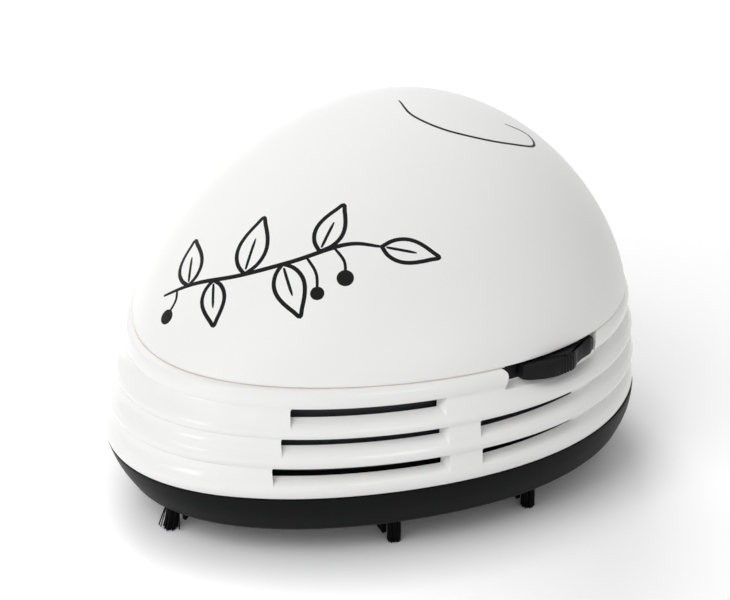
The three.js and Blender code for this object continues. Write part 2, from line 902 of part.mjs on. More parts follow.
function impeller() {
  const plateBottom = bladeBottom + bladeHeight;
  const plate = post(impellerRadius, plateBottom, backPlateTop, 0, 0, boreSides);
  const hub = post(hubRadius, bladeBottom, hubTop, 0, 0, smallSides);
  const blade = extruded(bladeOutline(), bladeBottom, plateBottom + backPlateThickness / 2);
  const blades = Array.from({ length: bladeCount }, (_, i) =>
    blade.rotate([0, 0, THREE.MathUtils.radToDeg((fullTurn * i) / bladeCount)]),
  );
  const bore = post(shaftRadius + gap, bladeBottom - overrun, hubTop + overrun, 0, 0, shaftSides);
  return join([plate, hub, ...blades]).subtract(bore);
}

// Motor

// The can's outline: round at the ends of Y and flat on both X sides.
function canOutline(margin) {
  const radius = canRadius + margin;
  const half = canAcrossFlats / 2 + margin;
  const limit = Math.acos(half / radius);
  const arc = (middle) =>
    Array.from({ length: canArcSteps + 1 }, (_, i) => {
      const angle = middle + lerp(-1, 1, i / canArcSteps) * (fullTurn / 4 - limit);
      return [radius * Math.cos(angle), radius * Math.sin(angle)];
    });
  return [...arc(fullTurn / 4), ...arc(-fullTurn / 4)];
}

function addMotor(parent) {
  const boreTop = canBottom + shaftEngagement + gap;
  const bore = post(shaftRadius + gap, canBottom - overrun, boreTop, 0, 0, shaftSides);
  const can = extruded(canOutline(0), canBottom, canTop);
  addPiece("motor_can", steel, can.subtract(bore), parent);
  const capBottom = canTop + gap;
  const cap = join([
    extruded(canOutline(-endCapStep), capBottom, capBottom + endCapLength),
    post(bushRadius, capBottom, capBottom + endCapLength + endCapStep, 0, 0, smallSides),
  ]);
  addPiece("motor_end_cap", blackSatin, cap, parent);
  const bushBottom = motorPlateTop - bushHeight;
  const bush = [
    [shaftRadius + gap, bushBottom],
    [bushRadius, bushBottom],
    [bushRadius, motorPlateTop],
    [shaftRadius + gap, motorPlateTop],
    [shaftRadius + gap, bushBottom],
  ];
  addPiece("motor_bush", brass, turned(bush, 0, 0, smallSides), parent);
  const terminalBottom = capBottom + endCapLength + gap;
  for (const [name, side] of [
    ["motor_terminal_positive", 1],
    ["motor_terminal_negative", -1],
  ]) {
    const middle = side * terminalOffset;
    const tab = block(
      [middle - terminalThickness / 2, -terminalWidth / 2, terminalBottom],
      [middle + terminalThickness / 2, terminalWidth / 2, terminalBottom + terminalLength],
    );
    addPiece(name, nickel, tab, parent);
  }
}

function addImpellerAndShaft(parent) {
  addPiece("impeller", greyPlastic, impeller(), parent);
  const shaft = post(shaftRadius, bladeBottom, canBottom + shaftEngagement, 0, 0, shaftSides);
  addPiece("motor_shaft", steel, shaft, parent);
}

const motorPosts = [motorPostOffset, -motorPostOffset];

function addMotorPlate(parent) {
  const outline = [
    post(canRadius, motorPlateBottom, motorPlateTop, 0, 0, boreSides),
    ...motorPosts.map((y) => post(motorPostRadius, motorPlateBottom, motorPlateTop, 0, y)),
    block(
      [-motorPostRadius, -motorPostOffset, motorPlateBottom],
      [motorPostRadius, motorPostOffset, motorPlateTop],
    ),
  ];
  const through = (radius, y, sides) =>
    post(radius, motorPlateBottom - overrun, motorPlateTop + overrun, 0, y, sides);
  const holes = [
    through(bushRadius + gap, 0, smallSides),
    ...motorPosts.map((y) => through(screwShankRadius + gap, y, screwSides)),
  ];
  addPiece("motor_plate", blackSatin, cut(join(outline), holes), parent);
}

// Battery deck with its motor sleeve, cell saddles and end walls

const cellSides = [
  { name: "cell_right", side: 1, nubTowards: 1 },
  { name: "cell_left", side: -1, nubTowards: -1 },
];
const endWallInner = cellLength / 2 + contactSpace;

function motorSleeve() {
  const bottom = motorPlateTop + gap;
  const top = canBottom + canLength * sleeveRiseShare;
  const outside = extruded(canOutline(gap + sleeveWall), bottom, top);
  const posts = motorPosts.map((y) => post(motorPostRadius, bottom, deckTop, 0, y));
  return { body: join([outside, ...posts]), bottom, top };
}

function addDeck(parent) {
  const plate = skinPlate(domeWall + gap + collarWall + gap, deckBottom, deckTop);
  const sleeve = motorSleeve();
  const saddles = cellSides.flatMap(({ side }) =>
    [-1, 1].map((end) => {
      const x = side * cellOffset;
      const y = (end * saddleSpacingShare * cellLength) / 2;
      return block(
        [x - cellRadius, y - saddleThickness / 2, deckBottom + deckThickness / 2],
        [x + cellRadius, y + saddleThickness / 2, deckTop + cellRadius * saddleRiseShare],
      );
    }),
  );
  const wallReach = cellOffset + endWallReach;
  const walls = [-1, 1].map((end) => {
    const [near, far] = [end * endWallInner, end * (endWallInner + endWallThickness)];
    return block(
      [-wallReach, Math.min(near, far), deckBottom + deckThickness / 2],
      [wallReach, Math.max(near, far), deckTop + endWallHeight],
    );
  });
  const place = (body) => body.translate([0, fanAxisY, 0]);
  const tabs = switchTabs();
  const cells = cellSides.map(({ side }) => cellBore(side));
  const motorBore = extruded(canOutline(gap), sleeve.bottom - overrun, sleeve.top + overrun);
  const postBores = motorPosts.map((y) =>
    post(screwShankRadius + gap, sleeve.bottom - overrun, sleeve.bottom + screwLength, 0, y, screwSides),
  );
  const deckHoles = screwPosts().map(({ x, y }) =>
    post(screwShankRadius + gap, deckBottom - overrun, deckTop + overrun, x, y, screwSides),
  );
  const leadHoles = leadHolePlaces().map(([x, y]) =>
    post(leadRadius + gap, deckBottom - overrun, deckTop + overrun, x, y, screwSides),
  );
  const body = join([plate, place(join([sleeve.body, ...saddles, ...walls])), ...tabs]);
  const cutters = [...[motorBore, ...postBores, ...cells].map(place), ...deckHoles, ...leadHoles];
  addPiece("battery_deck", blackSatin, cut(body, cutters), parent);
}

function cellBore(side) {
  const length = cellLength + 2 * contactSpace;
  const geometry = new THREE.CylinderGeometry(cellRadius + gap, cellRadius + gap, length, boreSides);
  geometry.translate(side * cellOffset, 0, cellAxisHeight);
  return solid(geometry);
}

function addCells(parent) {
  const half = cellLength / 2;
  const shoulder = half - cellNubLength;
  const profile = [
    [0, -half],
    [cellRadius - cellShoulder, -half],
    [cellRadius, -half + cellShoulder],
    [cellRadius, shoulder - cellShoulder],
    [cellRadius - cellShoulder, shoulder],
    [cellNubRadius, shoulder],
    [cellNubRadius, half],
    [0, half],
  ];
  for (const { name, side, nubTowards } of cellSides) {
    const points = profile.map(([radius, y]) => new THREE.Vector2(radius, y));
    const geometry = new THREE.LatheGeometry(points, smallSides);
    if (nubTowards < 0) geometry.rotateX(fullTurn / 2);
    geometry.translate(side * cellOffset, 0, cellAxisHeight);
    addPiece(name, cellJacket, solid(geometry), parent);
  }
}

// A leaf contact: a thin strip against the end wall whose bow reaches towards the cell.
function leafOutline(middle, end) {
  const wall = end * (endWallInner - gap);
  const bow = end * (cellLength / 2 + gap);
  const thick = end * contactThickness;
  const half = contactHalfSpan;
  return [
    [middle - half, wall],
    [middle - half, wall - thick],
    [middle - contactThickness, bow],
    [middle + contactThickness, bow],
    [middle + half, wall - thick],
    [middle + half, wall],
    [middle + half - thick * end, wall],
    [middle, bow + thick],
    [middle - half + thick * end, wall],
  ];
}

function addContacts(parent) {
  const bottom = cellAxisHeight - contactWidth / 2;
  const top = cellAxisHeight + contactWidth / 2;
  const leaf = (side, end) => extruded(leafOutline(side * cellOffset, end), bottom, top);
  const wall = -(endWallInner - gap);
  const bridgeBar = block(
    [-cellOffset - contactHalfSpan, wall, cellAxisHeight],
    [cellOffset + contactHalfSpan, wall + contactThickness, top],
  );
  addPiece("contact_bridge", nickel, join([leaf(1, -1), leaf(-1, -1), bridgeBar]), parent);
  for (const [name, side] of [
    ["contact_positive", 1],
    ["contact_negative", -1],
  ]) {
    const x = side * cellOffset;
    const tag = block(
      [x - contactHalfSpan, -wall - contactThickness, cellAxisHeight],
      [x + contactHalfSpan, -wall, top + contactTagHeight],
    );
    addPiece(name, nickel, join([leaf(side, 1), tag]), parent);
  }
}

// Screws: pan heads with a cross slot, seated on the face that they hold

function screw(head, towards) {
  const tip = head - towards * (screwLength - gap);
  const top = head + towards * screwHeadHeight;
  const low = Math.min(tip, head);
  const shank = post(screwShankRadius, low, Math.max(tip, head) + gap / 2, 0, 0, shankSides);
  const pan = post(screwHeadRadius, Math.min(head, top), Math.max(head, top), 0, 0, screwSides);
  const slotFloor = top - towards * screwSlotDepth;
  const slotTop = top + towards * overrun;
  const slot = (x, y) =>
    block([-x, -y, Math.min(slotFloor, slotTop)], [x, y, Math.max(slotFloor, slotTop)]);
  const reach = screwHeadRadius - screwSlotDepth;
  const half = screwSlotWidth / 2;
  return join([shank, pan]).subtract(slot(reach, half)).subtract(slot(half, reach));
}

function addScrews() {
  const upper = screw(deckTop + gap, 1);
  const lower = screw(fanPlateBottom - gap, -1);
  screwPosts().forEach(({ x, y }, i) => {
    addPiece(`deck_screw_${i + 1}`, steel, upper.translate([x, y, 0]));
    addPiece(`fan_plate_screw_${i + 1}`, steel, lower.translate([x, y, 0]));
  });
  const motorScrew = screw(motorPlateBottom - gap, -1);
  motorPosts.forEach((y, i) => {
    addPiece(`motor_screw_${i + 1}`, steel, motorScrew.translate([0, y + fanAxisY, 0]));
  });
}

// Slide switch

const knobBottom = topRibBottom + gap;
const knobTop = housingTop - gap;
const knobMiddle = knobStart + knobLength / 2;
const neckLow = (knobBottom + knobTop - knobNeckHeight) / 2;
const neckHigh = neckLow + knobNeckHeight;

function knobBackX() {
  return skinPoint(0.25, 0, housingTop).x - knobBack;
}

// Where the outline's right side lies at a place along the body, at the housing's top.
function sideAt(y) {
  const { nose, tail } = outlineAt(housingTop, 0);
  const cosine = (y - (nose + tail) / 2) / ((tail - nose) / 2);
  return skinPoint(Math.acos(cosine) / fullTurn, 0, housingTop).x;
}

function knobOutline() {
  const at = (share, stand) => {
    const y = knobStart + knobLength * share;
    return [sideAt(y) + stand, y];
  };
  const back = knobBackX();
  const chamferShare = knobChamfer / knobLength;
  const points = [
    [back, knobStart],
    at(0, knobEndStand - knobChamfer / 2),
    at(chamferShare, knobEndStand + knobChamfer / 4),
    at(knobSlopeShare, (knobEndStand + knobCrownStand) / 2),
    at(knobCrownShare, knobCrownStand),
  ];
  for (let i = 0; i < serrationCount; i++) {
    const share = firstSerrationShare + (i * serrationPitch) / knobLength;
    const half = serrationPitch / 2 / knobLength;
    points.push(at(share, knobCrownStand), at(share + half / 2, knobCrownStand - serrationDepth));
    points.push(at(share + half, knobCrownStand));
  }
  points.push(
    at(lastCrownShare, knobCrownStand - serrationDepth),
    at(knobScoopShare, knobScoopStand),
    at(knobRestShare, knobScoopStand - serrationDepth),
    at(1 - chamferShare, knobEndStand),
    at(1, knobEndStand - knobChamfer / 2),
    [back, knobStart + knobLength],
  );
  return points;
}

function addKnob(parent) {
  const head = extruded(knobOutline(), knobBottom, knobTop);
  const back = knobBackX();
  const neck = block(
    [back - knobNeckReach, knobMiddle - knobNeckLength / 2, neckLow],
    [back + gap, knobMiddle + knobNeckLength / 2, neckHigh],
  );
  addPiece("switch_knob", knobBlack, join([head, neck]), parent);
}

function switchBodyBox() {
  const outer = knobBackX() - innerInset - switchWallGap + recessDepth;
  const top = deckBottom - gap;
  return {
    low: [outer - switchBodyDepth, knobMiddle - switchBodyLength / 2, top - switchBodyHeight],
    high: [outer, knobMiddle + switchBodyLength / 2, top],
  };
}

function addSwitchBody() {
  const { low, high } = switchBodyBox();
  const neckTip = knobBackX() - knobNeckReach;
  const pocket = block(
    [neckTip - gap, knobMiddle - knobNeckLength / 2 - knobTravel - gap, neckLow - gap],
    [high[0] + overrun, knobMiddle + knobNeckLength / 2 + gap, neckHigh + gap],
  );
  addPiece("switch_body", blackSatin, block(low, high).subtract(pocket));
}

// Tabs under the deck that hold the switch body at both ends.
function switchTabs() {
  const { low, high } = switchBodyBox();
  return [-1, 1].map((end) => {
    const near = end < 0 ? low[1] - gap - switchTabThickness : high[1] + gap;
    return block(
      [low[0], near, deckBottom - switchTabHeight],
      [high[0] - gap, near + switchTabThickness, deckBottom + deckThickness / 2],
    );
  });
}

// Inner leads: from the positive contact to the switch, and from there and from the negative
// contact to the motor

function switchLeadPlaces() {
  const { low, high } = switchBodyBox();
  const height = (low[2] + high[2]) / 2;
  return [-1, 1].map((end) => [low[0] - leadTouch, knobMiddle + (end * leadSpacing) / 2, height]);
}

function leadHolePlaces() {
  return switchLeadPlaces().map(([x, y]) => [x - leadDrop, y]);
}

// An insulated lead along a smooth route, blunt at both ends.
function lead(route) {
  const curve = new THREE.CatmullRomCurve3(route.map((place) => new THREE.Vector3(...place)));
  const { normals, binormals } = curve.computeFrenetFrames(leadSteps);
  return loft(
    normals.map((normal, i) => {
      const middle = curve.getPointAt(i / leadSteps);
      return Array.from({ length: leadSides }, (_, j) => {
        const angle = (j / leadSides) * fullTurn;
        return middle
          .clone()
          .addScaledVector(normal, leadRadius * Math.cos(angle))
          .addScaledVector(binormals[i], leadRadius * Math.sin(angle));
      });
    }),
  );
}

function addLeads() {
  const [motorSide, cellSide] = switchLeadPlaces();
  const tagFace = fanAxisY + endWallInner - gap + leadTouch;
  const overWall = deckTop + endWallHeight + leadOverWall;
  const overCap = canTop + 2 * gap + endCapLength + terminalLength / 2;
  const terminalFace = terminalOffset + terminalThickness / 2 + leadTouch;
  const overDeck = deckTop + leadClear;
  const wallFace = fanAxisY + endWallInner + endWallThickness + leadClear;
  const besideWall = cellOffset + endWallReach + leadClear;
  const overCells = cellAxisHeight + cellRadius + leadClear;
  const throughDeck = ([x, y, height]) => [
    [x - leadClear, y, height],
    [x - leadDrop, y, deckBottom - leadClear],
    [x - leadDrop, y, overDeck],
  ];
  addPiece(
    "lead_cell_to_switch",
    redWire,
    lead([
      [cellOffset, tagFace, overWall],
      [cellOffset, tagFace + leadClear, overWall],
      [cellOffset + leadClear, wallFace, overWall - leadClear],
      [besideWall, wallFace, deckTop + cellRadius],
      [besideWall + leadClear, wallFace - cellRadius, overDeck],
      ...throughDeck(cellSide).reverse(),
      cellSide,
    ]),
  );
  addPiece(
    "lead_switch_to_motor",
    redWire,
    lead([
      motorSide,
      ...throughDeck(motorSide),
      [cellOffset + cellRadius + leadClear, (motorSide[1] + fanAxisY) / 2, overCells - leadClear],
      [cellOffset, fanAxisY, overCells + leadClear],
      [terminalFace + leadClear, fanAxisY, overCap],
      [terminalFace, fanAxisY, overCap],
    ]),
  );
  addPiece(
    "lead_cell_to_motor",
    blackWire,
    lead([
      [-cellOffset, tagFace, overWall],
      [-cellOffset, tagFace + leadClear, overWall],
      [leadClear - cellOffset, wallFace, overCells - leadClear],
      [-canRadius, wallFace - leadClear, overCells],
      [-terminalFace - 2 * leadClear, wallFace - cellRadius, overCap],
      [-terminalFace - 2 * leadClear, fanAxisY + canRadius, overCap],
      [-terminalFace - leadClear, fanAxisY, overCap],
      [-terminalFace, fanAxisY, overCap],
    ]),
  );
}

// Assembly: what turns on the fan axis sits in its own group

const onFanAxis = new THREE.Group();
onFanAxis.position.set(0, fanAxisY, 0);
model.add(onFanAxis);

addBaseTray();
addBrushes();
addInlet();
addFilter();
addFanPlate();
addHousing();
addImpellerAndShaft(onFanAxis);
addMotor(onFanAxis);
addMotorPlate(onFanAxis);
addDeck(model);
addCells(onFanAxis);
addContacts(onFanAxis);
addScrews();
addKnob(model);
addSwitchBody();
addLeads();
addDomeCover();

export default model;
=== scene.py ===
"""A desktop mini vacuum cleaner: a white domed cover on a ribbed housing and a black base tray,
standing on bristle tufts, with the fan, motor and cells inside. Metres, +Z up, nose towards -Y."""
import json
import math

import bmesh
import bpy
import numpy as np
from mathutils import Matrix, Vector
from mathutils.bvhtree import BVHTree


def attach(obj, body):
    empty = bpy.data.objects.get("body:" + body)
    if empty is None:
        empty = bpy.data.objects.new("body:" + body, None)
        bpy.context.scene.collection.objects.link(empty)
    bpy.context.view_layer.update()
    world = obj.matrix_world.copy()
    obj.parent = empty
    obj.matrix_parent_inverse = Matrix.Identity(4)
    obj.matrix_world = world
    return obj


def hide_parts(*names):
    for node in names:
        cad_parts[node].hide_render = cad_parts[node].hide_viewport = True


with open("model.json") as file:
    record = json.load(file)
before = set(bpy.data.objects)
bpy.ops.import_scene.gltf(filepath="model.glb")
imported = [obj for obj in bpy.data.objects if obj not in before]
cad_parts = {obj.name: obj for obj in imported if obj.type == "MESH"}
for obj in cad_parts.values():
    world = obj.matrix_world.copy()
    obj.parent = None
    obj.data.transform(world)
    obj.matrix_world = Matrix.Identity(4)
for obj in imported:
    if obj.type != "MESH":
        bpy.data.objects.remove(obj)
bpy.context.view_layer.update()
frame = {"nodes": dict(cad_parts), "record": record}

MM = 0.001
FULL_TURN = 2 * math.pi
GAP = 0.3 * MM
MERGE_DISTANCE = 0.001 * MM  # points nearer than this are one
SHARP = 35  # degrees; faces that meet at more keep a crisp edge

# Body outline from above: an ellipse that is fuller towards the tail
BODY_LENGTH = 115 * MM
BODY_HALF_WIDTH = 49 * MM
BASE_FULLNESS_SHARE = 0.2
CROWN_FULLNESS_SHARE = 0.12
BODY_SIDES = 288
CURVE_STEPS, HALVINGS = 3000, 40  # how closely a dome edge and the place of the side are worked out
GIRTH = 335 * MM  # the outline's length, for turning a length along it into a share of a turn

# Base tray
BRUSH_REACH = 6.1 * MM
TRAY_DEPTH = 9.6 * MM
TRAY_WALL = 2.2 * MM
TRAY_FLOOR = 2 * MM
TRAY_EDGE_RADIUS = 1.4 * MM
TRAY_NOSE_DRAFT = 5.1 * MM
TRAY_TAIL_DRAFT = 1.5 * MM
TRAY_SIDE_DRAFT = 3.6 * MM
TRAY_RIM_ROUND = 0.25 * MM
TRAY_BELLY = 0.45 * MM  # how far the slanted wall swells at half its height
TRAY_END_SWELL = 0.62 * MM  # how far the wall stands out more towards the nose and the tail
END_SWELL_COSINES = (0.31, 0.84)  # cosines of the turn between which that swell grows
BELLY_STEPS, TRAY_EDGE_STEPS = 8, 6  # in the profile of the wall and of its round lower edge
TRAY_FLOOR_SHARES = (0.3, 0.6, 0.85)  # where the floor has points on the way to the inlet bore
TRAY_SEAM = BRUSH_REACH + TRAY_DEPTH

# Dome
DOME_RISE = 36.1 * MM
DOME_WALL = 1.8 * MM
DOME_EDGE = 0.2 * MM
DOME_BANDS = 80
CROWN_OFFSET = 16.45 * MM
NOSE_RAKE = math.radians(63.3)
TAIL_RAKE = math.radians(78.5)
SIDE_RAKE = math.radians(87.5)
NOSE_CURVE_SHARES = (0.6, 0.33)
TAIL_CURVE_SHARES = (0.707, 0.42)
SIDE_CURVE_SHARES = (0.528, 0.45)

# Ribbed housing, bottom rib first
RIB_HEIGHTS = [3 * MM, 2.7 * MM, 2.4 * MM, 3.8 * MM]
GROOVE_HEIGHT = 3.2 * MM
SEAM_GAP = 0.18 * MM
# The edge in that gap, painted ivory for the warm light that comes through the plastic: how far in its front
# stands, also over the recess, and its heights
SEAM_EDGE_INSET, SEAM_EDGE_HIDDEN = 0.14 * MM, DOME_WALL - 0.1 * MM
SEAM_EDGE_LIFT, SEAM_EDGE_TOP = 0.01 * MM, 0.8 * SEAM_GAP
HOUSING_BOTTOM = TRAY_SEAM + GAP
INNER_INSET = 4 * MM
RIB_BULGE = 0.42 * MM
RIB_ROWS = 7
HOUSING_SHARP = 40  # degrees
CLOSE_STEP = 0.05 * MM  # between columns of points where a slot or the recess ends
# How many close steps are kept clear of even columns there, and those at which columns stand instead
SLOT_CLEAR, SLOT_COLUMNS = 9, (1, 6)
RECESS_CLEAR, RECESS_COLUMNS = 60, (1, 8, 16, 26, 38, 52)
# How far each rib stands out round the nose, at its lower and its upper edge
NOSE_STANDS = [(0.6 * MM, 0.85 * MM), (0.35 * MM, 0.9 * MM), (0.3 * MM, 1.2 * MM), (0.4 * MM, 1.25 * MM)]
NOSE_REACH, NOSE_FADE = 0.2, 0.11  # shares of a turn: how far that stand reaches and fades out
RIB_EDGE = 0.1 * MM
NOSE_SETBACK = 7.2 * MM
TAIL_SETBACK = 2 * MM
SIDE_SETBACK = 1.96 * MM
NOSE_SETBACK_SHARES = [0, 0.15, 0.387, 0.76, 1]
TAIL_SETBACK_SHARES = [0, 0.19, 0.36, 0.64, 1]
SIDE_SETBACK_SHARES = [0, -0.08, 0.19, 0.81, 1]
TRAY_SEAM_GAP = 0.12 * MM
LIP_DROP = 0.3 * MM  # the slot's floor falls towards the inside
SKIRT_INSET = 2.5 * MM
SKIRT_DEPTH = 4 * MM
COLLAR_HEIGHT = 3 * MM
COLLAR_WALL = 1.5 * MM
RIB_BOTTOMS = [HOUSING_BOTTOM + sum(RIB_HEIGHTS[:i]) + i * GROOVE_HEIGHT for i in range(4)]
RIB_TOPS = [bottom + height for bottom, height in zip(RIB_BOTTOMS, RIB_HEIGHTS)]
HOUSING_TOP = RIB_TOPS[3]

# Vent slots: the first and last turn of each, lowest groove first
NOSE_SLOT_SPANS = [(0.2936, 0.395), (0.2957, 0.3921), (0.2986, 0.3905)]
TAIL_SLOT_SPANS = [(0.196, 0.2746), (0.196, 0.2769)]
SCOOP_DEPTH = 2.2 * MM  # behind the rib's lower edge
# The slot's lower lip over the rib below, for each groove, at four shares of a turn from the nose:
# the nose slots, the tail slots' start and end, and past them
SCOOP_LIPS = [
    (0.85 * MM, 0.85 * MM, 1.4 * MM, 2.2 * MM), (1.25 * MM, 0.95 * MM, 1.4 * MM, 2.2 * MM),
    (MM, MM, MM, 2.2 * MM),
]
LIP_TURNS = (0.21, 0.225, 0.5 - TAIL_SLOT_SPANS[0][0], 0.34)
RAMP_ROWS = 10
SLOT_END_REACH = 1.6 * MM  # how far the thin lip wall goes on past a slot's ends
SCOOP_START = 0.4 * MM  # below the rib's top, where its face turns in
LIP_WALL = 0.5 * MM
SCREEN_INSET = 4.6 * MM
# Depth of a groove with no slot, from the nose round to the tail: share of a turn, depth
GROOVE_DEPTHS = [
    (0.09, 0.12 * MM), (0.1, 0.25 * MM), (0.235, 0.25 * MM), (0.28, 1.6 * MM), (0.34, 2 * MM), (0.45, 1.6 * MM),
]
TAIL_FADE = 0.018  # share of a turn over which a rear slot's scoop runs out into the groove
WAVE_BACK, CRISP_BACK = 0.5, 0.12  # share of a groove's height over which it turns back out
# Shares of a turn from the nose where a change starts, and over how much it runs
SIDE_CORE_START, SIDE_CORE_END, SIDE_CORE_FADE = 0.07, 0.34, 0.03  # where the mould's side cores run level
CRISP_START, TAIL_SCOOP_START, GROOVE_FADE = 0.05, 0.24, 0.05

# Slide switch
KNOB_START = 1.7 * MM
KNOB_LENGTH = 19.3 * MM
KNOB_TRAVEL = 2.4 * MM
KNOB_STATIONS, KNOB_BACK_STATIONS = 150, 24  # along its front and its back
KNOB_SOFTENING = 7  # how many stations its front is evened over
KNOB_SHARP = 30  # degrees
KNOB_DROP = 0.55 * MM  # the grip's top falls this much towards its front,
KNOB_DROP_STAND = 1.4 * MM  # where it stands out this far or more
# The grip's round edges: mm over its bottom or its top, and mm drawn in
KNOB_FOOT = ((0, 0.35), (0.1, 0.1), (0.35, 0))
KNOB_HEAD = ((-0.7, 0), (-0.2, 0.25), (0, 0.7))
KNOB_INSET = 1.45 * MM  # how far the knob's back lies behind the housing's skin
NECK_LENGTH = 4 * MM
NECK_HEIGHT = 1.4 * MM
NECK_REACH = 7 * MM
# The black plate that paints the shade in the knob's recess
SHADE_PLATE_THICKNESS = 0.15 * MM
SHADE_PLATE_MARGIN = 0.2 * MM
SHADE_PLATE_STATIONS = 40
KNOB_MIDDLE_HEIGHT = (RIB_BOTTOMS[3] + HOUSING_TOP) / 2
RECESS_MARGIN = 0.6 * MM
RECESS_DEPTH = 2 * MM
RECESS_CORNER = 2 * MM
RECESS_CORNER_FADE = 3 * MM
SERRATIONS, FIRST_SERRATION = 5, 0.4  # how many, and the share of the knob's length where they start
SERRATION_PITCH = 0.8 * MM
SERRATION_DEPTH = 0.28  # mm
# The knob from above: share of its length, and how far it stands out of the housing in mm
KNOB_STANDS = [
    (0, 0), (0.03, 0.45), (0.08, 0.8), (0.2, 1.4), (0.32, 2.05), (0.4, 2.2), (0.57, 2.15),
    (0.62, 1.75), (0.69, 0.95), (0.79, 0.6), (0.93, 0.55), (1, 0),
]

# Brushes: strips of bristle tufts let into the tray's underside, each tuft beside a fin
STRIP_WIDTH = 4 * MM
STRIP_THICKNESS = 1 * MM
STRIP_EDGE = 0.2 * MM
TUFT_RADIUS = 1.65 * MM
TUFT_SPLAY = 0.35 * MM
STRAND_POINTS = 5
STRAND_BEND = 0.12 * MM
STRAY_POWER = 22  # the higher, the fewer strands stray
FRONT_STRAY = 2.2 * MM  # how far the wildest strands of the front tuft lean out
NEAT_STRAY = 0.4 * MM  # and those of the other tufts
CAD_STRAND_RADIUS = 0.2 * MM
SIDE_TUFT_INSET = 4.5 * MM
NOSE_TUFT_INSET = 3.4 * MM
NOSE_TUFT_LEAN = 1.1 * MM
TAIL_TUFT_TURNS = (-0.12, 0, 0.12)
SIDE_TUFT_TURNS = (0.225, 0.322)
FIN_LENGTH = 9 * MM
FIN_DEPTH = 5.6 * MM
FIN_THICKNESS = 1.2 * MM
FIN_GAP = 0.15 * MM
FIN_EDGE = 0.15 * MM
STATIONS = 48  # along a brush strip

# Inner pieces
REFINED_SHARP = 32  # degrees
REFINED_BEVEL = 0.12 * MM
SCREW_POST_RADIUS = 3.2 * MM
SCREW_POST_INSET = 8 * MM
SCREW_POST_TURNS = (0, 0.45, 0.55)
SCREW_SHANK_RADIUS = 1.1 * MM
POST_SIDES = 48
WEB_THICKNESS = 1.6 * MM
WEB_ROOT = 0.9 * MM
WEB_ROWS = 6
FAN_PLATE_TOP = TRAY_SEAM + 3.6 * MM
NET_RADIUS = 17 * MM
NET_PITCH = 0.8 * MM
NET_HEIGHT = 15.75 * MM
CELL_RADIUS = 7.25 * MM
CELL_LENGTH = 50.5 * MM
CELL_NUB_RADIUS = 2.75 * MM
CELL_NUB_LENGTH = 1.3 * MM
CELL_SHOULDER = 0.7 * MM
CELL_OFFSET = 17 * MM
CELL_AXIS_HEIGHT = 46.65 * MM
FAN_AXIS_Y = 4 * MM
INLET_RADIUS = 11 * MM
INLET_WALL = 1.3 * MM

# Print
INK_HEIGHT = 0.03 * MM
INK_SECTION = ((-1, -1), (-1, 0.6), (0, 1), (1, 0.6), (1, -1))  # across a line: side, share of the height
TAPER_SPAN = 0.25  # share of a line's length over which its end tapers
STEM_WIDTH, LEAF_WIDTH, FINE_WIDTH = 0.95, 0.85, 0.6  # mm

# Camera, found by fitting it to the photo's outlines, and the studio
CAMERA_AZIMUTH, CAMERA_ELEVATION = 48.158, 26.784  # degrees
CAMERA_DISTANCE = 700 * MM
CAMERA_AIM = Vector((-4.39, 6.36, 30.59)) * MM
CAMERA_LENS, SENSOR_WIDTH = 165.87, 36
WORLD_LIGHT = 0.44
# Area lamps: azimuth and elevation in degrees, distance, width, height, power, shown in gloss
LAMPS = {
    "key_box": (8, 46, 1.0, 0.6, 0.6, 3.6, False),
    "rear_box": (-118, 42, 1.2, 0.5, 0.5, 4.6, False),
    "right_window": (72, 16, 1.0, 0.32, 0.05, 0.45, True),
    "left_window": (-2, 16, 1.0, 0.32, 0.05, 0.35, True),
}
FLOOR_HALF = 3.0
# The floor's glow paints light and shade on it: bright on the left, and a painted shadow towards the right
FLOOR_LEFT_PAINTED_LIGHT, FLOOR_RIGHT_PAINTED_LIGHT = 0.64, 0.22
FLOOR_PAINTED_LIGHT_REACH = 50 * MM  # from the middle to where each holds
FLOOR_RIGHTWARDS = (0.667, 0.745, 0)
# A painted contact shadow: the floor's glow is taken away close under the object
PAINTED_SHADOW_REACH, PAINTED_SHADOW_POWER = 17 * MM, 1.5  # how far and how strongly the object keeps the glow away


# Meshes and pieces


def placed(name, data):
    """An object in the scene for a mesh, a lamp or a camera."""
    thing = bpy.data.objects.new(name, data)
    bpy.context.scene.collection.objects.link(thing)
    return thing


def piece(name, mesh, body, slot, nodes=(), material=None):
    """A finished piece: an object at the origin that rides on a body and stands for CAD nodes."""
    thing = placed(name, mesh)
    mesh.materials.clear()
    mesh.materials.append(material or FINISHES[slot])
    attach(thing, body)
    if nodes:
        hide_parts(*nodes)


def shape_of(*meshes):
    """A shape to edit, made of meshes."""
    shape = bmesh.new()
    for mesh in meshes:
        shape.from_mesh(mesh)
    return shape


def mesh_of(shape, name):
    mesh = bpy.data.meshes.new(name)
    shape.to_mesh(mesh)
    shape.free()
    return mesh


def smoothed(mesh, sharp=SHARP):
    mesh.shade_smooth()
    mesh.set_sharp_from_angle(angle=math.radians(sharp))
    return mesh


def sealed(shape, name, sharp=SHARP):
    """A shape's mesh with its doubles merged, its faces turned outwards and its soft edges smooth."""
    bmesh.ops.remove_doubles(shape, verts=shape.verts, dist=MERGE_DISTANCE)
    bmesh.ops.recalc_face_normals(shape, faces=shape.faces)
    return smoothed(mesh_of(shape, name), sharp)


def closed_mesh(name, points, faces, sharp=SHARP):
    shape = bmesh.new()
    corners = [shape.verts.new(point) for point in np.asarray(points).tolist()]
    for face in faces:
        shape.faces.new([corners[i] for i in face])
    return sealed(shape, name, sharp)


def lofted(name, rings, sharp=SHARP):
    """A closed bar through rings of equally many points, with flat ends."""
    rings = np.array(rings)
    rows, columns = rings.shape[:2]
    ends = [tuple(range(columns)), tuple(range((rows - 1) * columns, rows * columns))]
    return closed_mesh(name, rings.reshape(-1, 3), grid_faces(rows, columns) + ends, sharp)


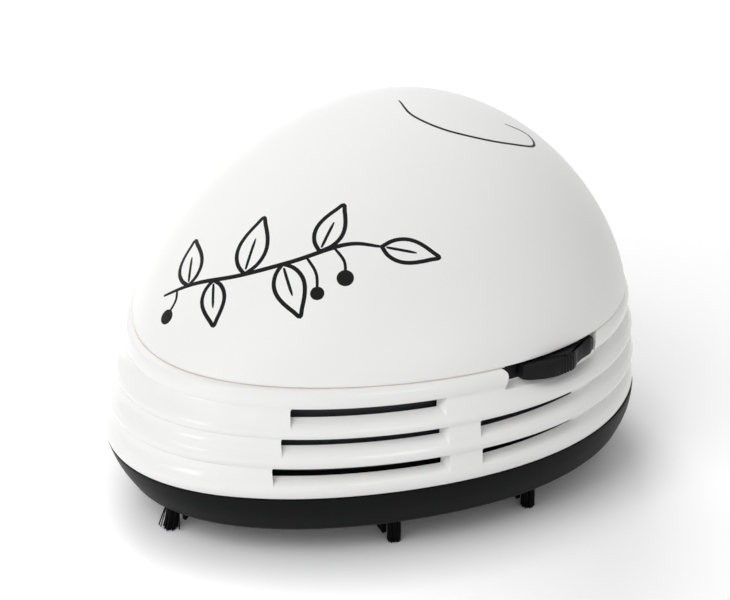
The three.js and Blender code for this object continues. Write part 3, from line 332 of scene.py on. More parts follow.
def grid_faces(rows, columns, start=0, skip=None, closes=False):
    """Faces between rings of equally many points, and from the last ring to the first if it closes."""
    faces = []
    for row in range(rows if closes else rows - 1):
        low, high = start + row * columns, start + (row + 1) % rows * columns
        for column in range(columns):
            beside = (column + 1) % columns
            if skip is None or not skip[row, column]:
                faces.append((low + column, high + column, high + beside, low + beside))
    return faces


def ring_shell(name, rings):
    """A closed shell through rings of points, from the last ring round to the first."""
    rings = np.array(rings)
    return closed_mesh(name, rings.reshape(-1, 3), grid_faces(*rings.shape[:2], closes=True))


def capped(name, rings, poles):
    """A closed mesh through rings of equally many points, with a fan from each end to a pole."""
    rings = np.array(rings)
    rows, columns = rings.shape[:2]
    faces, last, pole = grid_faces(rows, columns), (rows - 1) * columns, rows * columns
    for column in range(columns):
        beside = (column + 1) % columns
        faces += [(column, beside, pole), (last + column, last + beside, pole + 1)]
    return closed_mesh(name, [*rings.reshape(-1, 3), *poles], faces)


def turned_mesh(name, profile, x=0, y=0, sides=72):
    """A profile of radius and height turned round an upright axis; it may start and end on the axis."""
    angles = np.arange(sides) / sides * FULL_TURN
    return ring_shell(name, [
        np.stack([x + radius * np.cos(angles), y + radius * np.sin(angles), 0 * angles + height], 1)
        for radius, height in profile
    ])


# Trees of geometry nodes, which grow a mesh from a starting mesh


def new_tree(name, sizes):
    """A tree with a geometry input, one named input for each size, and a geometry output. Gives its
    inputs by name, with _ for a space."""
    tree = bpy.data.node_groups.new(name, "GeometryNodeTree")
    tree.interface.new_socket("Geometry", in_out="INPUT", socket_type="NodeSocketGeometry")
    for label, value in sizes.items():
        kind = "NodeSocketInt" if isinstance(value, int) else "NodeSocketFloat"
        tree.interface.new_socket(label, in_out="INPUT", socket_type=kind).default_value = value
    tree.interface.new_socket("Geometry", in_out="OUTPUT", socket_type="NodeSocketGeometry")
    inputs = node(tree, "NodeGroupInput").node.outputs
    return tree, {label.replace(" ", "_"): socket for label, socket in inputs.items()}


# A sign's node, its operation and the input for what follows it
SIGNS = {
    "+": ("Math", "ADD", 1), "-": ("Math", "SUBTRACT", 1), "*": ("Math", "MULTIPLY", 1),
    "/": ("Math", "DIVIDE", 1), "%": ("Math", "FLOORED_MODULO", 1), "^": ("Math", "POWER", 1),
    "max": ("Math", "MAXIMUM", 1), "plus": ("VectorMath", "ADD", 1), "times": ("VectorMath", "SCALE", "Scale"),
}


def work_out(tree, values, steps):
    """Adds the math nodes for lines of steps and puts each line's output among the values by name. A
    line says a = sine b, a = xyz b c d, or a sum such as a = b * c + d, worked from left to right."""
    def read(word):
        return values[word] if word in values else float(word)

    for step in steps.strip().splitlines():
        (name,), (first, *rest) = (side.split() for side in step.split("="))
        if first == "xyz":
            made = node(tree, "ShaderNodeCombineXYZ", dict(zip("XYZ", map(read, rest))))
        elif len(rest) == 1:
            made = node(tree, "ShaderNodeMath", {0: read(rest[0])}, operation=first.upper())
        else:
            made = read(first)
            for sign, word in zip(rest[::2], rest[1::2]):
                kind, operation, key = SIGNS[sign]
                made = node(tree, f"ShaderNode{kind}", {0: made, key: read(word)}, operation=operation)
        values[name] = made


def end_tree(tree, geometry, material):
    real = node(tree, "GeometryNodeRealizeInstances", {"Geometry": geometry})
    coated = node(tree, "GeometryNodeSetMaterial", {"Geometry": real, "Material": material})
    node(tree, "NodeGroupOutput", {"Geometry": coated})


def tubes(tree, curves, radius):
    """Square tubes along curves, fine enough to look round."""
    ring = node(tree, "GeometryNodeCurvePrimitiveCircle", {"Resolution": 4, "Radius": radius})
    return node(tree, "GeometryNodeCurveToMesh", {"Curve": curves, "Profile Curve": ring, "Fill Caps": True})


def grown(name, tree, start, sizes={}):
    """The plain mesh that a tree grows from a starting mesh, with some sizes of its own."""
    thing = placed(name, start)
    modifier = thing.modifiers.new(name, "NODES")
    modifier.node_group = tree
    for socket in tree.interface.items_tree:
        if socket.in_out == "INPUT" and socket.name in sizes:
            modifier[socket.identifier] = sizes[socket.name]
    return applied(name, thing)


def applied(name, thing, *tools):
    """The mesh of an object with its modifiers applied; the object and its tools are removed."""
    mesh = bpy.data.meshes.new_from_object(thing.evaluated_get(bpy.context.evaluated_depsgraph_get()))
    mesh.name = name
    for used in (thing, *tools):
        bpy.data.objects.remove(used)
    return mesh


def points_mesh(name, points, **vectors):
    """A mesh of loose points with a named vector for each."""
    mesh = bpy.data.meshes.new(name)
    mesh.from_pydata([tuple(point) for point in points], [], [])
    for label, values in vectors.items():
        mesh.attributes.new(label, "FLOAT_VECTOR", "POINT").data.foreach_set("vector", np.ravel(values))
    return mesh


def merged_meshes(name, meshes):
    return mesh_of(shape_of(*meshes), name)


def combined(mesh, others, operation):
    """A mesh with others cut out of it or joined to it."""
    thing, *tools = [placed(each.name, each) for each in (mesh, *others)]
    for tool in tools:
        step = thing.modifiers.new(tool.name, "BOOLEAN")
        step.operation, step.solver, step.object = operation, "EXACT", tool
    return applied(mesh.name, thing, *tools)


# Outlines: where the body's skin lies at a height, drawn in by an inset


def bezier(values, t):
    s = 1 - t
    return s**3 * values[0] + 3 * s * s * t * values[1] + 3 * s * t * t * values[2] + t**3 * values[3]


def edge_at(edge, crown, rise, rake, shares, lift):
    """Where a dome edge that starts at `edge` and ends level at `crown` lies at a height."""
    t = np.sin(np.linspace(0, 1, CURVE_STEPS) * FULL_TURN / 4)
    inwards = math.copysign(1, crown - edge)
    low, high = shares
    run = bezier([edge, edge + inwards * math.cos(rake) * low * rise, crown + (edge - crown) * high, crown], t)
    height = bezier([0, math.sin(rake) * low * rise, rise, rise], t)
    return np.interp(lift, height, run)


def low_outline(height, inset):
    """Nose, tail, side and fullness of the outline up to the housing's top, drawn in by insets."""
    levels = [*RIB_BOTTOMS, HOUSING_TOP]
    under = np.clip((TRAY_SEAM - height) / TRAY_DEPTH, 0, 1)

    def edge(setback, shares, draft):
        return np.interp(height, levels, np.array(shares) * setback) + under * draft + inset

    nose = -BODY_LENGTH / 2 + edge(NOSE_SETBACK, NOSE_SETBACK_SHARES, TRAY_NOSE_DRAFT)
    tail = BODY_LENGTH / 2 - edge(TAIL_SETBACK, TAIL_SETBACK_SHARES, TRAY_TAIL_DRAFT)
    side = BODY_HALF_WIDTH - edge(SIDE_SETBACK, SIDE_SETBACK_SHARES, TRAY_SIDE_DRAFT)
    return nose, tail, side, BASE_FULLNESS_SHARE


def dome_outline(height, inset):
    """The same over the housing's top, where the outline closes in to the crown."""
    lift, rise = height - HOUSING_TOP, DOME_RISE - inset
    nose, tail, side, _ = low_outline(HOUSING_TOP, inset)
    nose = edge_at(nose, CROWN_OFFSET, rise, NOSE_RAKE, NOSE_CURVE_SHARES, lift)
    tail = edge_at(tail, CROWN_OFFSET, rise, TAIL_RAKE, TAIL_CURVE_SHARES, lift)
    side = edge_at(side, 0, rise, SIDE_RAKE, SIDE_CURVE_SHARES, lift)
    share = min(1, lift / rise)
    return nose, tail, side, BASE_FULLNESS_SHARE + (CROWN_FULLNESS_SHARE - BASE_FULLNESS_SHARE) * share


def outline_points(turns, outline, height):
    nose, tail, side, fullness = outline
    angle = np.asarray(turns) * FULL_TURN
    x = side * np.sin(angle) * (1 + fullness * np.cos(angle))
    y = (tail + nose) / 2 + (tail - nose) / 2 * np.cos(angle)
    return np.stack(np.broadcast_arrays(x, y, height), -1)


def skin(turns, inset, height):
    """Points of the skin at shares of a turn: 0 is the tail, 0.25 the right side, 0.5 the nose."""
    outline = dome_outline(height, inset) if np.max(height) > HOUSING_TOP else low_outline(height, inset)
    return outline_points(turns, outline, height)


def skin_ring(inset, height, sides=BODY_SIDES):
    """A level ring of the skin."""
    return skin(np.arange(sides) / sides, inset, height)


def side_at(y):
    """X of the housing's right side at Y, where it is widest."""
    height = RIB_BOTTOMS[3]
    low, high = 0.0, 0.5
    for _ in range(HALVINGS):
        middle = (low + high) / 2
        if skin(middle, 0, height)[1] > y:
            low = middle
        else:
            high = middle
    return float(skin(low, 0, height)[0])


# Materials


def linear(hex_colour):
    """A linear colour from an sRGB hex value."""
    channels = [int(hex_colour[i : i + 2], 16) / 255 for i in (1, 3, 5)]
    curve = [c / 12.92 if c <= 0.04045 else ((c + 0.055) / 1.055) ** 2.4 for c in channels]
    return (*curve, 1)


def node(tree, kind, inputs=None, gives=0, **settings):
    """Adds a node with its settings and gives one of its outputs; an input is a value or an output."""
    made = tree.nodes.new(kind)
    for key, value in settings.items():
        setattr(made, key, value)
    for key, value in (inputs or {}).items():
        if isinstance(value, bpy.types.NodeSocket):
            tree.links.new(value, made.inputs[key])
        else:
            made.inputs[key].default_value = value
    return made.outputs[gives] if made.outputs else made


def finish_named(name, **settings):
    """A material with a Principled shader: its tree, its shader and its object coordinates."""
    material = bpy.data.materials.new(name)
    material.use_nodes = True
    tree = material.node_tree
    shader = tree.nodes["Principled BSDF"]
    for key, value in settings.items():
        shader.inputs[key.replace("_", " ")].default_value = value
    return material, tree, shader, node(tree, "ShaderNodeTexCoord", gives="Object")


def finish(name, patch, colours, roughness, grain=None, stretch=None, **settings):
    """A material whose colour and roughness go between two near values over patches of a real size,
    with a grain of a real size and depth; with no size, the patches stand up. Stretch makes lines."""
    material, tree, shader, place = finish_named(name, **settings)
    if stretch:
        place = node(tree, "ShaderNodeMapping", {"Vector": place, "Scale": stretch})
    pattern = node(tree, "ShaderNodeTexNoise", {"Vector": place, "Scale": 1 / patch, "Detail": 3.0})
    colour = node(tree, "ShaderNodeValToRGB", {"Fac": pattern})
    for stop, shade in zip(colour.node.color_ramp.elements, colours):
        stop.color = linear(shade)
    rough = node(tree, "ShaderNodeMapRange", {"Value": pattern, "To Min": roughness[0], "To Max": roughness[1]})
    outputs = {"Base Color": colour, "Roughness": rough}
    if grain:
        size, depth = grain
        height = node(tree, "ShaderNodeTexNoise", {"Vector": place, "Scale": 1 / size}) if size else pattern
        outputs["Normal"] = node(tree, "ShaderNodeBump", {"Height": height, "Distance": depth})
    for socket, output in outputs.items():
        tree.links.new(output, shader.inputs[socket])
    return material


def plated(name, colours, roughness, stretch):
    """A plated metal whose fine lines run round or along it."""
    return finish(name, 0.5 * MM, colours, roughness, (None, 0.004 * MM), stretch, Metallic=1.0)


WHITES = "#F4F4F2", "#F7F7F6"
ABS = {"IOR": 1.54}
PVC = {"IOR": 1.53}

# Injection-moulded ABS from a polished mould: a clean gloss with the faint waves of the moulding
white = finish("polished_white_abs", 24 * MM, WHITES, (0.12, 0.17), (9 * MM, 0.02 * MM), **ABS)
# The dome's ABS from a blasted mould: the same white, with an even sheen and no mirror spots
dome_white = finish("satin_white_abs", 24 * MM, WHITES, (0.36, 0.42), (0.4 * MM, 0.003 * MM), **ABS)
# Black ABS from a spark-eroded mould: a fine even grain that spreads the light
black = finish("satin_black_abs", 8 * MM, ("#121313", "#161717"), (0.38, 0.46), (0.35 * MM, 0.02 * MM),
               Specular_IOR_Level=0.045, **ABS)
# The knob's black ABS, grained for grip and a little worn to a shine
knob_black = finish("matt_black_abs", 2.5 * MM, ("#0F0F10", "#151516"), (0.36, 0.55), (0.3 * MM, 0.03 * MM),
                    Specular_IOR_Level=0.12, **ABS)
# Plain dark grey ABS of the fan and the filter frame, with the faint flow of the moulding
grey = finish("grey_abs", 6 * MM, ("#2B2D2F", "#333537"), (0.4, 0.5), (0.5 * MM, 0.01 * MM), **ABS)
# Drawn nylon filament: dark, with a thin shine along each strand
nylon = finish("black_nylon", 0.6 * MM, ("#060607", "#0E0E0F"), (0.35, 0.5), Specular_IOR_Level=0.08, IOR=1.53)
# Polyester thread of the dust net, off-white and dull
net_thread = finish("woven_filter", 1.2 * MM, ("#8E9092", "#B4B6B6"), (0.7, 0.85), IOR=1.5)
# Zinc-plated screws and shaft, the nickel-plated cans and spring leaves, and the sintered bush: fine lines
steel = plated("zinc_steel", ("#A9ABAD", "#BFC1C3"), (0.28, 0.42), (1, 1, 0.1))
can_steel = plated("nickel_steel", ("#B5B4AF", "#C8C7C2"), (0.25, 0.38), (1, 1, 0.05))
leaf_nickel = plated("nickel_leaf", ("#BDBAB2", "#CFCCC4"), (0.2, 0.34), (0.1, 1, 1))
bush_brass = plated("sintered_brass", ("#A98A4C", "#C4A463"), (0.3, 0.45), (1, 1, 1))
# A printed foil sleeve, glossy and softly wrinkled, in a plain dark green
jacket = finish("cell_jacket", 5 * MM, ("#2F5A47", "#386A53"), (0.22, 0.34), (2.5 * MM, 0.03 * MM), IOR=1.5)
# Unpolished ABS in the seam, painted a warm ivory for the light that reaches it through the plastic: painted
# light, not the plastic's own colour
seam_light = finish("painted_seam_light", 3 * MM, ("#DCCDBA", "#E8DCCB"), (0.55, 0.65), **ABS)
# Soft PVC insulation of the thin leads, waxy and a little uneven
red_wire, black_wire = (
    finish(name, 1.5 * MM, colours, (0.38, 0.5), (0.8 * MM, 0.01 * MM), **PVC)
    for name, colours in (("red_wire_pvc", ("#8E241D", "#A5302A")), ("black_wire_pvc", ("#161617", "#202022")))
)
# Pad-printed black ink: flat and a little less glossy than the plastic under it
ink = finish("print_ink", 1.5 * MM, ("#0E0E0F", "#141415"), (0.3, 0.42), Specular_IOR_Level=0.15, IOR=1.5)

# The record's material slots and the finish of each
FINISHES = {
    "white_abs": white, "black_abs": black, "knob_black": knob_black, "brush_nylon": nylon,
    "grey_plastic": grey, "filter_net": net_thread, "motor_steel": can_steel, "steel": steel,
    "nickel": leaf_nickel, "brass": bush_brass, "cell_sleeve": jacket,
    "red_wire": red_wire, "black_wire": black_wire,
}
SLOTS = {row["node"]: row["material_slot"] for row in frame["record"]["subparts"]}
BODIES = {name: body for body, names in frame["record"]["behaviour"]["bodies"].items() for name in names}


# Dome cover


def dome_rings(inset, bands):
    """Rings from just over the housing to just under the crown, closer together upwards."""
    low = HOUSING_TOP + SEAM_GAP
    rise = HOUSING_TOP + DOME_RISE - inset - low
    angles = np.arange(bands) / bands * FULL_TURN / 4
    return [skin_ring(inset, low + rise * math.sin(angle)) for angle in angles]


def dome_cover():
    outer, inner = dome_rings(0, DOME_BANDS), dome_rings(DOME_WALL, DOME_BANDS // 2)
    low, corner = HOUSING_TOP + SEAM_GAP, DOME_EDGE * (1 - math.sqrt(0.5))
    outer[:1] = [skin_ring(DOME_EDGE, low), skin_ring(corner, low + corner), skin_ring(0, low + DOME_EDGE)]
    crowns = [(0, CROWN_OFFSET, HOUSING_TOP + DOME_RISE - inset) for inset in (DOME_WALL, 0)]
    mesh = capped("dome_cover_skin", [*reversed(inner), *outer], crowns)
    piece("dome_cover_skin", mesh, "dome", "white_abs", ["dome_cover"], dome_white)


# Ribbed housing


def smooth_step(t):
    t = np.clip(t, 0, 1)
    return t * t * (3 - 2 * t)


def slot_spans(groove):
    """The turns that a groove's slots span, on both sides. The switch stands over the rear ones."""
    spans = [side[groove] for side in (NOSE_SLOT_SPANS, TAIL_SLOT_SPANS) if groove < len(side)]
    return spans + [(1 - end, 1 - start) for start, end in spans]


def drawn_in(turns, inset, height):
    """Skin points drawn in by insets: level towards X = 0 by the slots, as the mould's side cores
    run there, and with the outline elsewhere."""
    level = np.minimum(height, HOUSING_TOP)
    square = outline_points(turns, low_outline(level, inset), height)
    core = outline_points(turns, low_outline(level, 0 * inset), height)
    core[..., 0] -= np.sign(core[..., 0]) * inset
    from_nose = np.abs(turns - 0.5)
    share = smooth_step((from_nose - SIDE_CORE_START) / SIDE_CORE_FADE)
    share = share * smooth_step((SIDE_CORE_END - from_nose) / SIDE_CORE_FADE)
    return square + (core - square) * np.broadcast_to(share, height.shape)[..., None]


def turn_at(y):
    """The share of a turn where the right side at the housing's top lies at Y."""
    nose, tail, _, _ = low_outline(HOUSING_TOP, 0)
    return math.acos(float((y - (nose + tail) / 2) / ((tail - nose) / 2))) / FULL_TURN


RECESS_TURNS = (
    turn_at(KNOB_START + KNOB_LENGTH + RECESS_MARGIN),
    turn_at(KNOB_START - KNOB_TRAVEL - RECESS_MARGIN),
)


def housing_columns():
    """Turns round the housing: even steps, with close ones where a slot or the recess ends."""
    step = CLOSE_STEP / GIRTH
    slots = {end for groove in range(3) for span in slot_spans(groove) for end in span}
    groups = ((slots, SLOT_CLEAR, SLOT_COLUMNS), (RECESS_TURNS, RECESS_CLEAR, RECESS_COLUMNS))
    turns = [
        i / BODY_SIDES for i in range(BODY_SIDES)
        if all(abs(i / BODY_SIDES - end) > clear * step for ends, clear, _ in groups for end in ends)
    ]
    for ends, _, places in groups:
        turns += [end + sign * place * step for end in ends for place in places for sign in (-1, 1)]
    return np.array(sorted(turns))


def nose_share(turns):
    """One round the nose, nothing along the sides."""
    return smooth_step((NOSE_REACH - np.abs(turns - 0.5)) / NOSE_FADE)


def rib_inset(rib, share, turns):
    """The inset of a rib's face at a share of its height: a bulge, and steep steps round the nose."""
    low, high = NOSE_STANDS[rib]
    bulge = RIB_BULGE * math.sin(math.pi * min(max(share, 0), 1))
    return -bulge - nose_share(turns) * (low + (high - low) * share)


def groove_rows(groove, turns):
    """Insets and heights of a groove's rows, lowest first: a soft wave, or a scoop where a slot is.
    The ramp of a scoop turns in from the rib below and ends nearly level at the slot's lip. Also
    tells where the slot is open, and where the wall beside it is thin."""
    low, high = RIB_TOPS[groove] - SCOOP_START, RIB_BOTTOMS[groove + 1]
    inside, beside = np.zeros(len(turns), bool), np.zeros(len(turns), bool)
    for start, end in slot_spans(groove):
        inside |= (turns > start) & (turns < end)
        beside |= (turns > start - SLOT_END_REACH / GIRTH) & (turns < end + SLOT_END_REACH / GIRTH)
    from_nose, nose = np.abs(turns - 0.5), nose_share(turns)
    below = rib_inset(groove, 1 - SCOOP_START / RIB_HEIGHTS[groove], turns)
    above = rib_inset(groove + 1, 0, turns)
    depth = np.interp(from_nose, *zip(*GROOVE_DEPTHS))
    fade = smooth_step((0.5 - TAIL_SLOT_SPANS[0][0] - from_nose) / TAIL_FADE)
    deep = np.where(inside, depth + (SCOOP_DEPTH - depth) * fade, depth)
    lip = np.interp(from_nose, LIP_TURNS, SCOOP_LIPS[groove])
    back = WAVE_BACK - (WAVE_BACK - CRISP_BACK) * smooth_step((from_nose - CRISP_START) / GROOVE_FADE)
    scooped = np.where(inside, 1, smooth_step((from_nose - TAIL_SCOOP_START) / GROOVE_FADE))
    rows, count = [], RAMP_ROWS + 4
    for i in range(count):
        s = (i + 1) / count
        wave = smooth_step(np.minimum(s / (1 - back), (1 - s) / back))
        soft = depth * wave + below + (above - below) * (s * (1 - nose) + smooth_step(s) * nose)
        soft_height = low + (high + RIB_EDGE - low) * s
        if i <= RAMP_ROWS:
            share = i / RAMP_ROWS
            scoop = deep * (1 - math.cos(share * FULL_TURN / 4)) + below * (1 - share)
            scoop_height = low + (SCOOP_START + lip) * share
        else:
            scoop, lift = ((deep, 0), (above + RIB_EDGE, 0), (above, RIB_EDGE))[i - RAMP_ROWS - 1]
            scoop_height = high + lift
        rows.append((soft + (scoop - soft) * scooped, soft_height + (scoop_height - soft_height) * scooped))
    return rows, inside & (fade > 0.5), beside & ~inside


def corner_shift(turns, height):
    """How far the recess's ends draw apart towards the top, where the rib's corners are rounded."""
    over = np.clip((height - (HOUSING_TOP - RECESS_CORNER)) / RECESS_CORNER, 0, 1)
    reach = RECESS_CORNER * (1 - np.sqrt(1 - over * over)) / GIRTH
    shift = np.zeros(len(turns))
    for end, way in zip(RECESS_TURNS, (-1, 1)):
        shift += way * reach * smooth_step(1 - np.abs(turns - end) * GIRTH / RECESS_CORNER_FADE)
    return shift


def housing_shell():
    turns = housing_columns()
    bottom, top = TRAY_SEAM + TRAY_SEAM_GAP, HOUSING_TOP + COLLAR_HEIGHT
    foot, head, collar = rib_inset(0, 0, turns), rib_inset(3, 1, turns), DOME_WALL + GAP
    rows = [
        (SKIRT_INSET, TRAY_SEAM - SKIRT_DEPTH), (SKIRT_INSET, bottom),
        (foot + 3 * RIB_EDGE, bottom), (foot + RIB_EDGE, bottom + RIB_EDGE),
    ]
    # Where the inner face lies behind a row: the row, the height, the inset, and the inset at a slot
    anchors = [(0, TRAY_SEAM - SKIRT_DEPTH, INNER_INSET, INNER_INSET)]
    holes = []
    for rib in range(4):
        low = (RIB_BOTTOMS[rib] if rib else bottom) + 3 * RIB_EDGE
        high = RIB_TOPS[rib] - (SCOOP_START if rib < 3 else 4 * RIB_EDGE)
        for i in range(RIB_ROWS):
            height = low + (high - low) * i / RIB_ROWS
            rows.append((rib_inset(rib, (height - RIB_BOTTOMS[rib]) / RIB_HEIGHTS[rib], turns), height))
        if rib < 3:
            groove, inside, beside = groove_rows(rib, turns)
            lip, thin = len(rows) + RAMP_ROWS, SCOOP_DEPTH + LIP_WALL
            anchors += [
                (len(rows), RIB_TOPS[rib] - MM, INNER_INSET, INNER_INSET),
                (lip, RIB_TOPS[rib] + SCOOP_LIPS[rib][1] - LIP_DROP, INNER_INSET, thin),
                (lip + 1, RIB_BOTTOMS[rib + 1], INNER_INSET, thin),
            ]
            holes.append((lip, inside, beside))
            rows += groove
    rows += [
        (head, HOUSING_TOP - 4 * RIB_EDGE), (head + RIB_EDGE, HOUSING_TOP - 1.5 * RIB_EDGE),
        (head + 4 * RIB_EDGE, HOUSING_TOP), (collar, HOUSING_TOP), (collar, top - GAP), (collar + GAP, top),
    ]
    anchors.append((len(rows) - 1, top, collar + COLLAR_WALL, collar + COLLAR_WALL))

    inset, height = (np.array([row[k] + np.zeros(len(turns)) for row in rows]) for k in (0, 1))
    index = np.arange(len(rows))
    recess = (turns > RECESS_TURNS[0]) & (turns < RECESS_TURNS[1])
    recessed = np.clip((index - holes[2][0] + 1) / 3, 0, 1)
    recessed[-3:] = 0
    inset += (RECESS_DEPTH - inset) * recessed[:, None] * recess
    shifted = np.array([turns + corner_shift(turns, level) for level in height])

    at, *behind = zip(*anchors)
    inner_height, inner_inset, thin = (
        np.repeat(np.interp(index, at, values)[:, None], len(turns), 1) for values in behind
    )
    skip = np.zeros((len(rows) - 1, len(turns)), bool)
    for lip, inside, beside in holes:
        near = slice(lip - RAMP_ROWS, lip + 3)
        inner_inset[near, inside | beside] = thin[near, inside | beside]
        skip[lip] = inside & np.roll(inside, -1)
    return shell_between(drawn_in(shifted, inset, height), drawn_in(shifted, inner_inset, inner_height), skip)


def shell_between(outer, inner, skip):
    """A closed wall between two grids of points, open through the faces to skip."""
    rows, columns = outer.shape[:2]
    offset = rows * columns
    faces = grid_faces(rows, columns, 0, skip) + grid_faces(rows, columns, offset, skip)
    edges = [(start + i, start + (i + 1) % columns) for i in range(columns) for start in (0, offset - columns)]
    for row, column in zip(*np.nonzero(skip)):
        beside, low, high = (column + 1) % columns, row * columns, (row + 1) * columns
        edges += [edge for is_open, *edge in (
            (skip[row - 1, column], low + column, low + beside),
            (skip[row + 1, column], high + column, high + beside),
            (skip[row, column - 1], low + column, high + column),
            (skip[row, beside], low + beside, high + beside),
        ) if not is_open]
    faces += [(a, b, b + offset, a + offset) for a, b in edges]
    points = np.concatenate([outer.reshape(-1, 3), inner.reshape(-1, 3)])
    return closed_mesh("ribbed_housing", points, faces, HOUSING_SHARP)


def housing_posts():
    """Round posts between the fan plate and the deck, each with a web to the housing's wall."""
    low, high = FAN_PLATE_TOP + GAP, HOUSING_TOP - GAP
    bore, edge = SCREW_SHANK_RADIUS + GAP, SCREW_POST_RADIUS - GAP
    profile = [(bore, low), (edge, low), (SCREW_POST_RADIUS, low + GAP),
               (SCREW_POST_RADIUS, high - GAP), (edge, high), (bore, high)]
    meshes = []
    for i, turn in enumerate(SCREW_POST_TURNS):
        middle = skin(turn, SCREW_POST_INSET, HOUSING_TOP) * (1, 1, 0)
        meshes.append(turned_mesh(f"post_{i}", profile, middle[0], middle[1], POST_SIDES))
        rings = []
        for level in np.linspace(low, high, WEB_ROWS):
            wall = skin(turn, INNER_INSET - WEB_ROOT, level) * (1, 1, 0)
            out = (wall - middle) / np.linalg.norm(wall - middle)
            side = np.array([-out[1], out[0], 0]) * WEB_THICKNESS / 2
            near = middle + out * edge
            rings.append([at + (0, 0, level) for at in (near - side, wall - side, wall + side, near + side)])
        meshes.append(lofted(f"web_{i}", rings))
    return merged_meshes("housing_posts", meshes)


def seam_edge():
    """The collar's edge, painted ivory for the warm light that comes through the plastic into the seam: a thin
    warm line under the dome, drawn in over the recess.
    """
    low, high = HOUSING_TOP + SEAM_EDGE_LIFT, HOUSING_TOP + SEAM_EDGE_TOP
    turns = np.arange(BODY_SIDES) / BODY_SIDES
    over = (turns > RECESS_TURNS[0]) & (turns < RECESS_TURNS[1])
    front = np.where(over, SEAM_EDGE_HIDDEN, SEAM_EDGE_INSET)
    section = ((front, low), (DOME_WALL, low), (DOME_WALL, high), (front, high))
    return ring_shell("seam_edge", [
        drawn_in(turns, inset, np.full(BODY_SIDES, level)) for inset, level in section
    ])


def neck_slot():
    """A bar through the housing's wall, where the knob's neck slides."""
    middle = KNOB_START + KNOB_LENGTH / 2
    half_length, half_height = NECK_LENGTH / 2 + GAP, NECK_HEIGHT / 2 + GAP
    back = side_at(middle) - RECESS_DEPTH
    ys, levels = (-half_length - KNOB_TRAVEL, half_length), (-half_height, half_height)
    return lofted("neck_slot", [
        [(x, middle + ys[i], KNOB_MIDDLE_HEIGHT + levels[k]) for i, k in ((0, 0), (1, 0), (1, 1), (0, 1))]
        for x in (back - 2 * INNER_INSET, back + RECESS_DEPTH / 2)
    ])


def recess_shade_plate():
    """A thin black plate on the recess's floor, which the knob slides over; its black paints the shade of the
    recess and of the opening behind the knob.
    """
    low, high = RIB_BOTTOMS[3] + GAP / 2, HOUSING_TOP - GAP / 2
    margin = SHADE_PLATE_MARGIN / GIRTH
    insets = RECESS_DEPTH - SHADE_PLATE_THICKNESS * np.array([1, 1, 0, 0])
    levels = np.array([low, high, high, low])
    turns = np.linspace(RECESS_TURNS[0] + margin, RECESS_TURNS[1] - margin, SHADE_PLATE_STATIONS)
    return lofted("recess_shade_plate", [drawn_in(np.full(4, turn), insets, levels) for turn in turns])


def vent_screen():
    """A thin dark wall behind the vent slots, between the fan plate and the deck."""
    low, high = FAN_PLATE_TOP + GAP, RIB_BOTTOMS[3] + GAP
    near, far = SCREEN_INSET, SCREEN_INSET + LIP_WALL
    section = ((near, low), (far, low), (far, high), (near, high))
    return ring_shell("vent_screen", [skin_ring(inset, height) for inset, height in section])


def ribbed_housing():
    shell = smoothed(combined(housing_shell(), [neck_slot()], "DIFFERENCE"), HOUSING_SHARP)
    piece("ribbed_housing", shell, "housing", "white_abs", ["rib_housing"])
    # A black plate that paints the recess's shade
    piece("recess_shade_plate", combined(recess_shade_plate(), [neck_slot()], "DIFFERENCE"), "housing", "knob_black")
    piece("housing_posts", housing_posts(), "housing", "white_abs")
    piece("vent_screen", vent_screen(), "housing", "grey_plastic")
    # The seam edge's ivory is painted light, the glow of light through the plastic
    piece("seam_edge", seam_edge(), "housing", "white_abs", material=seam_light)


# Base tray


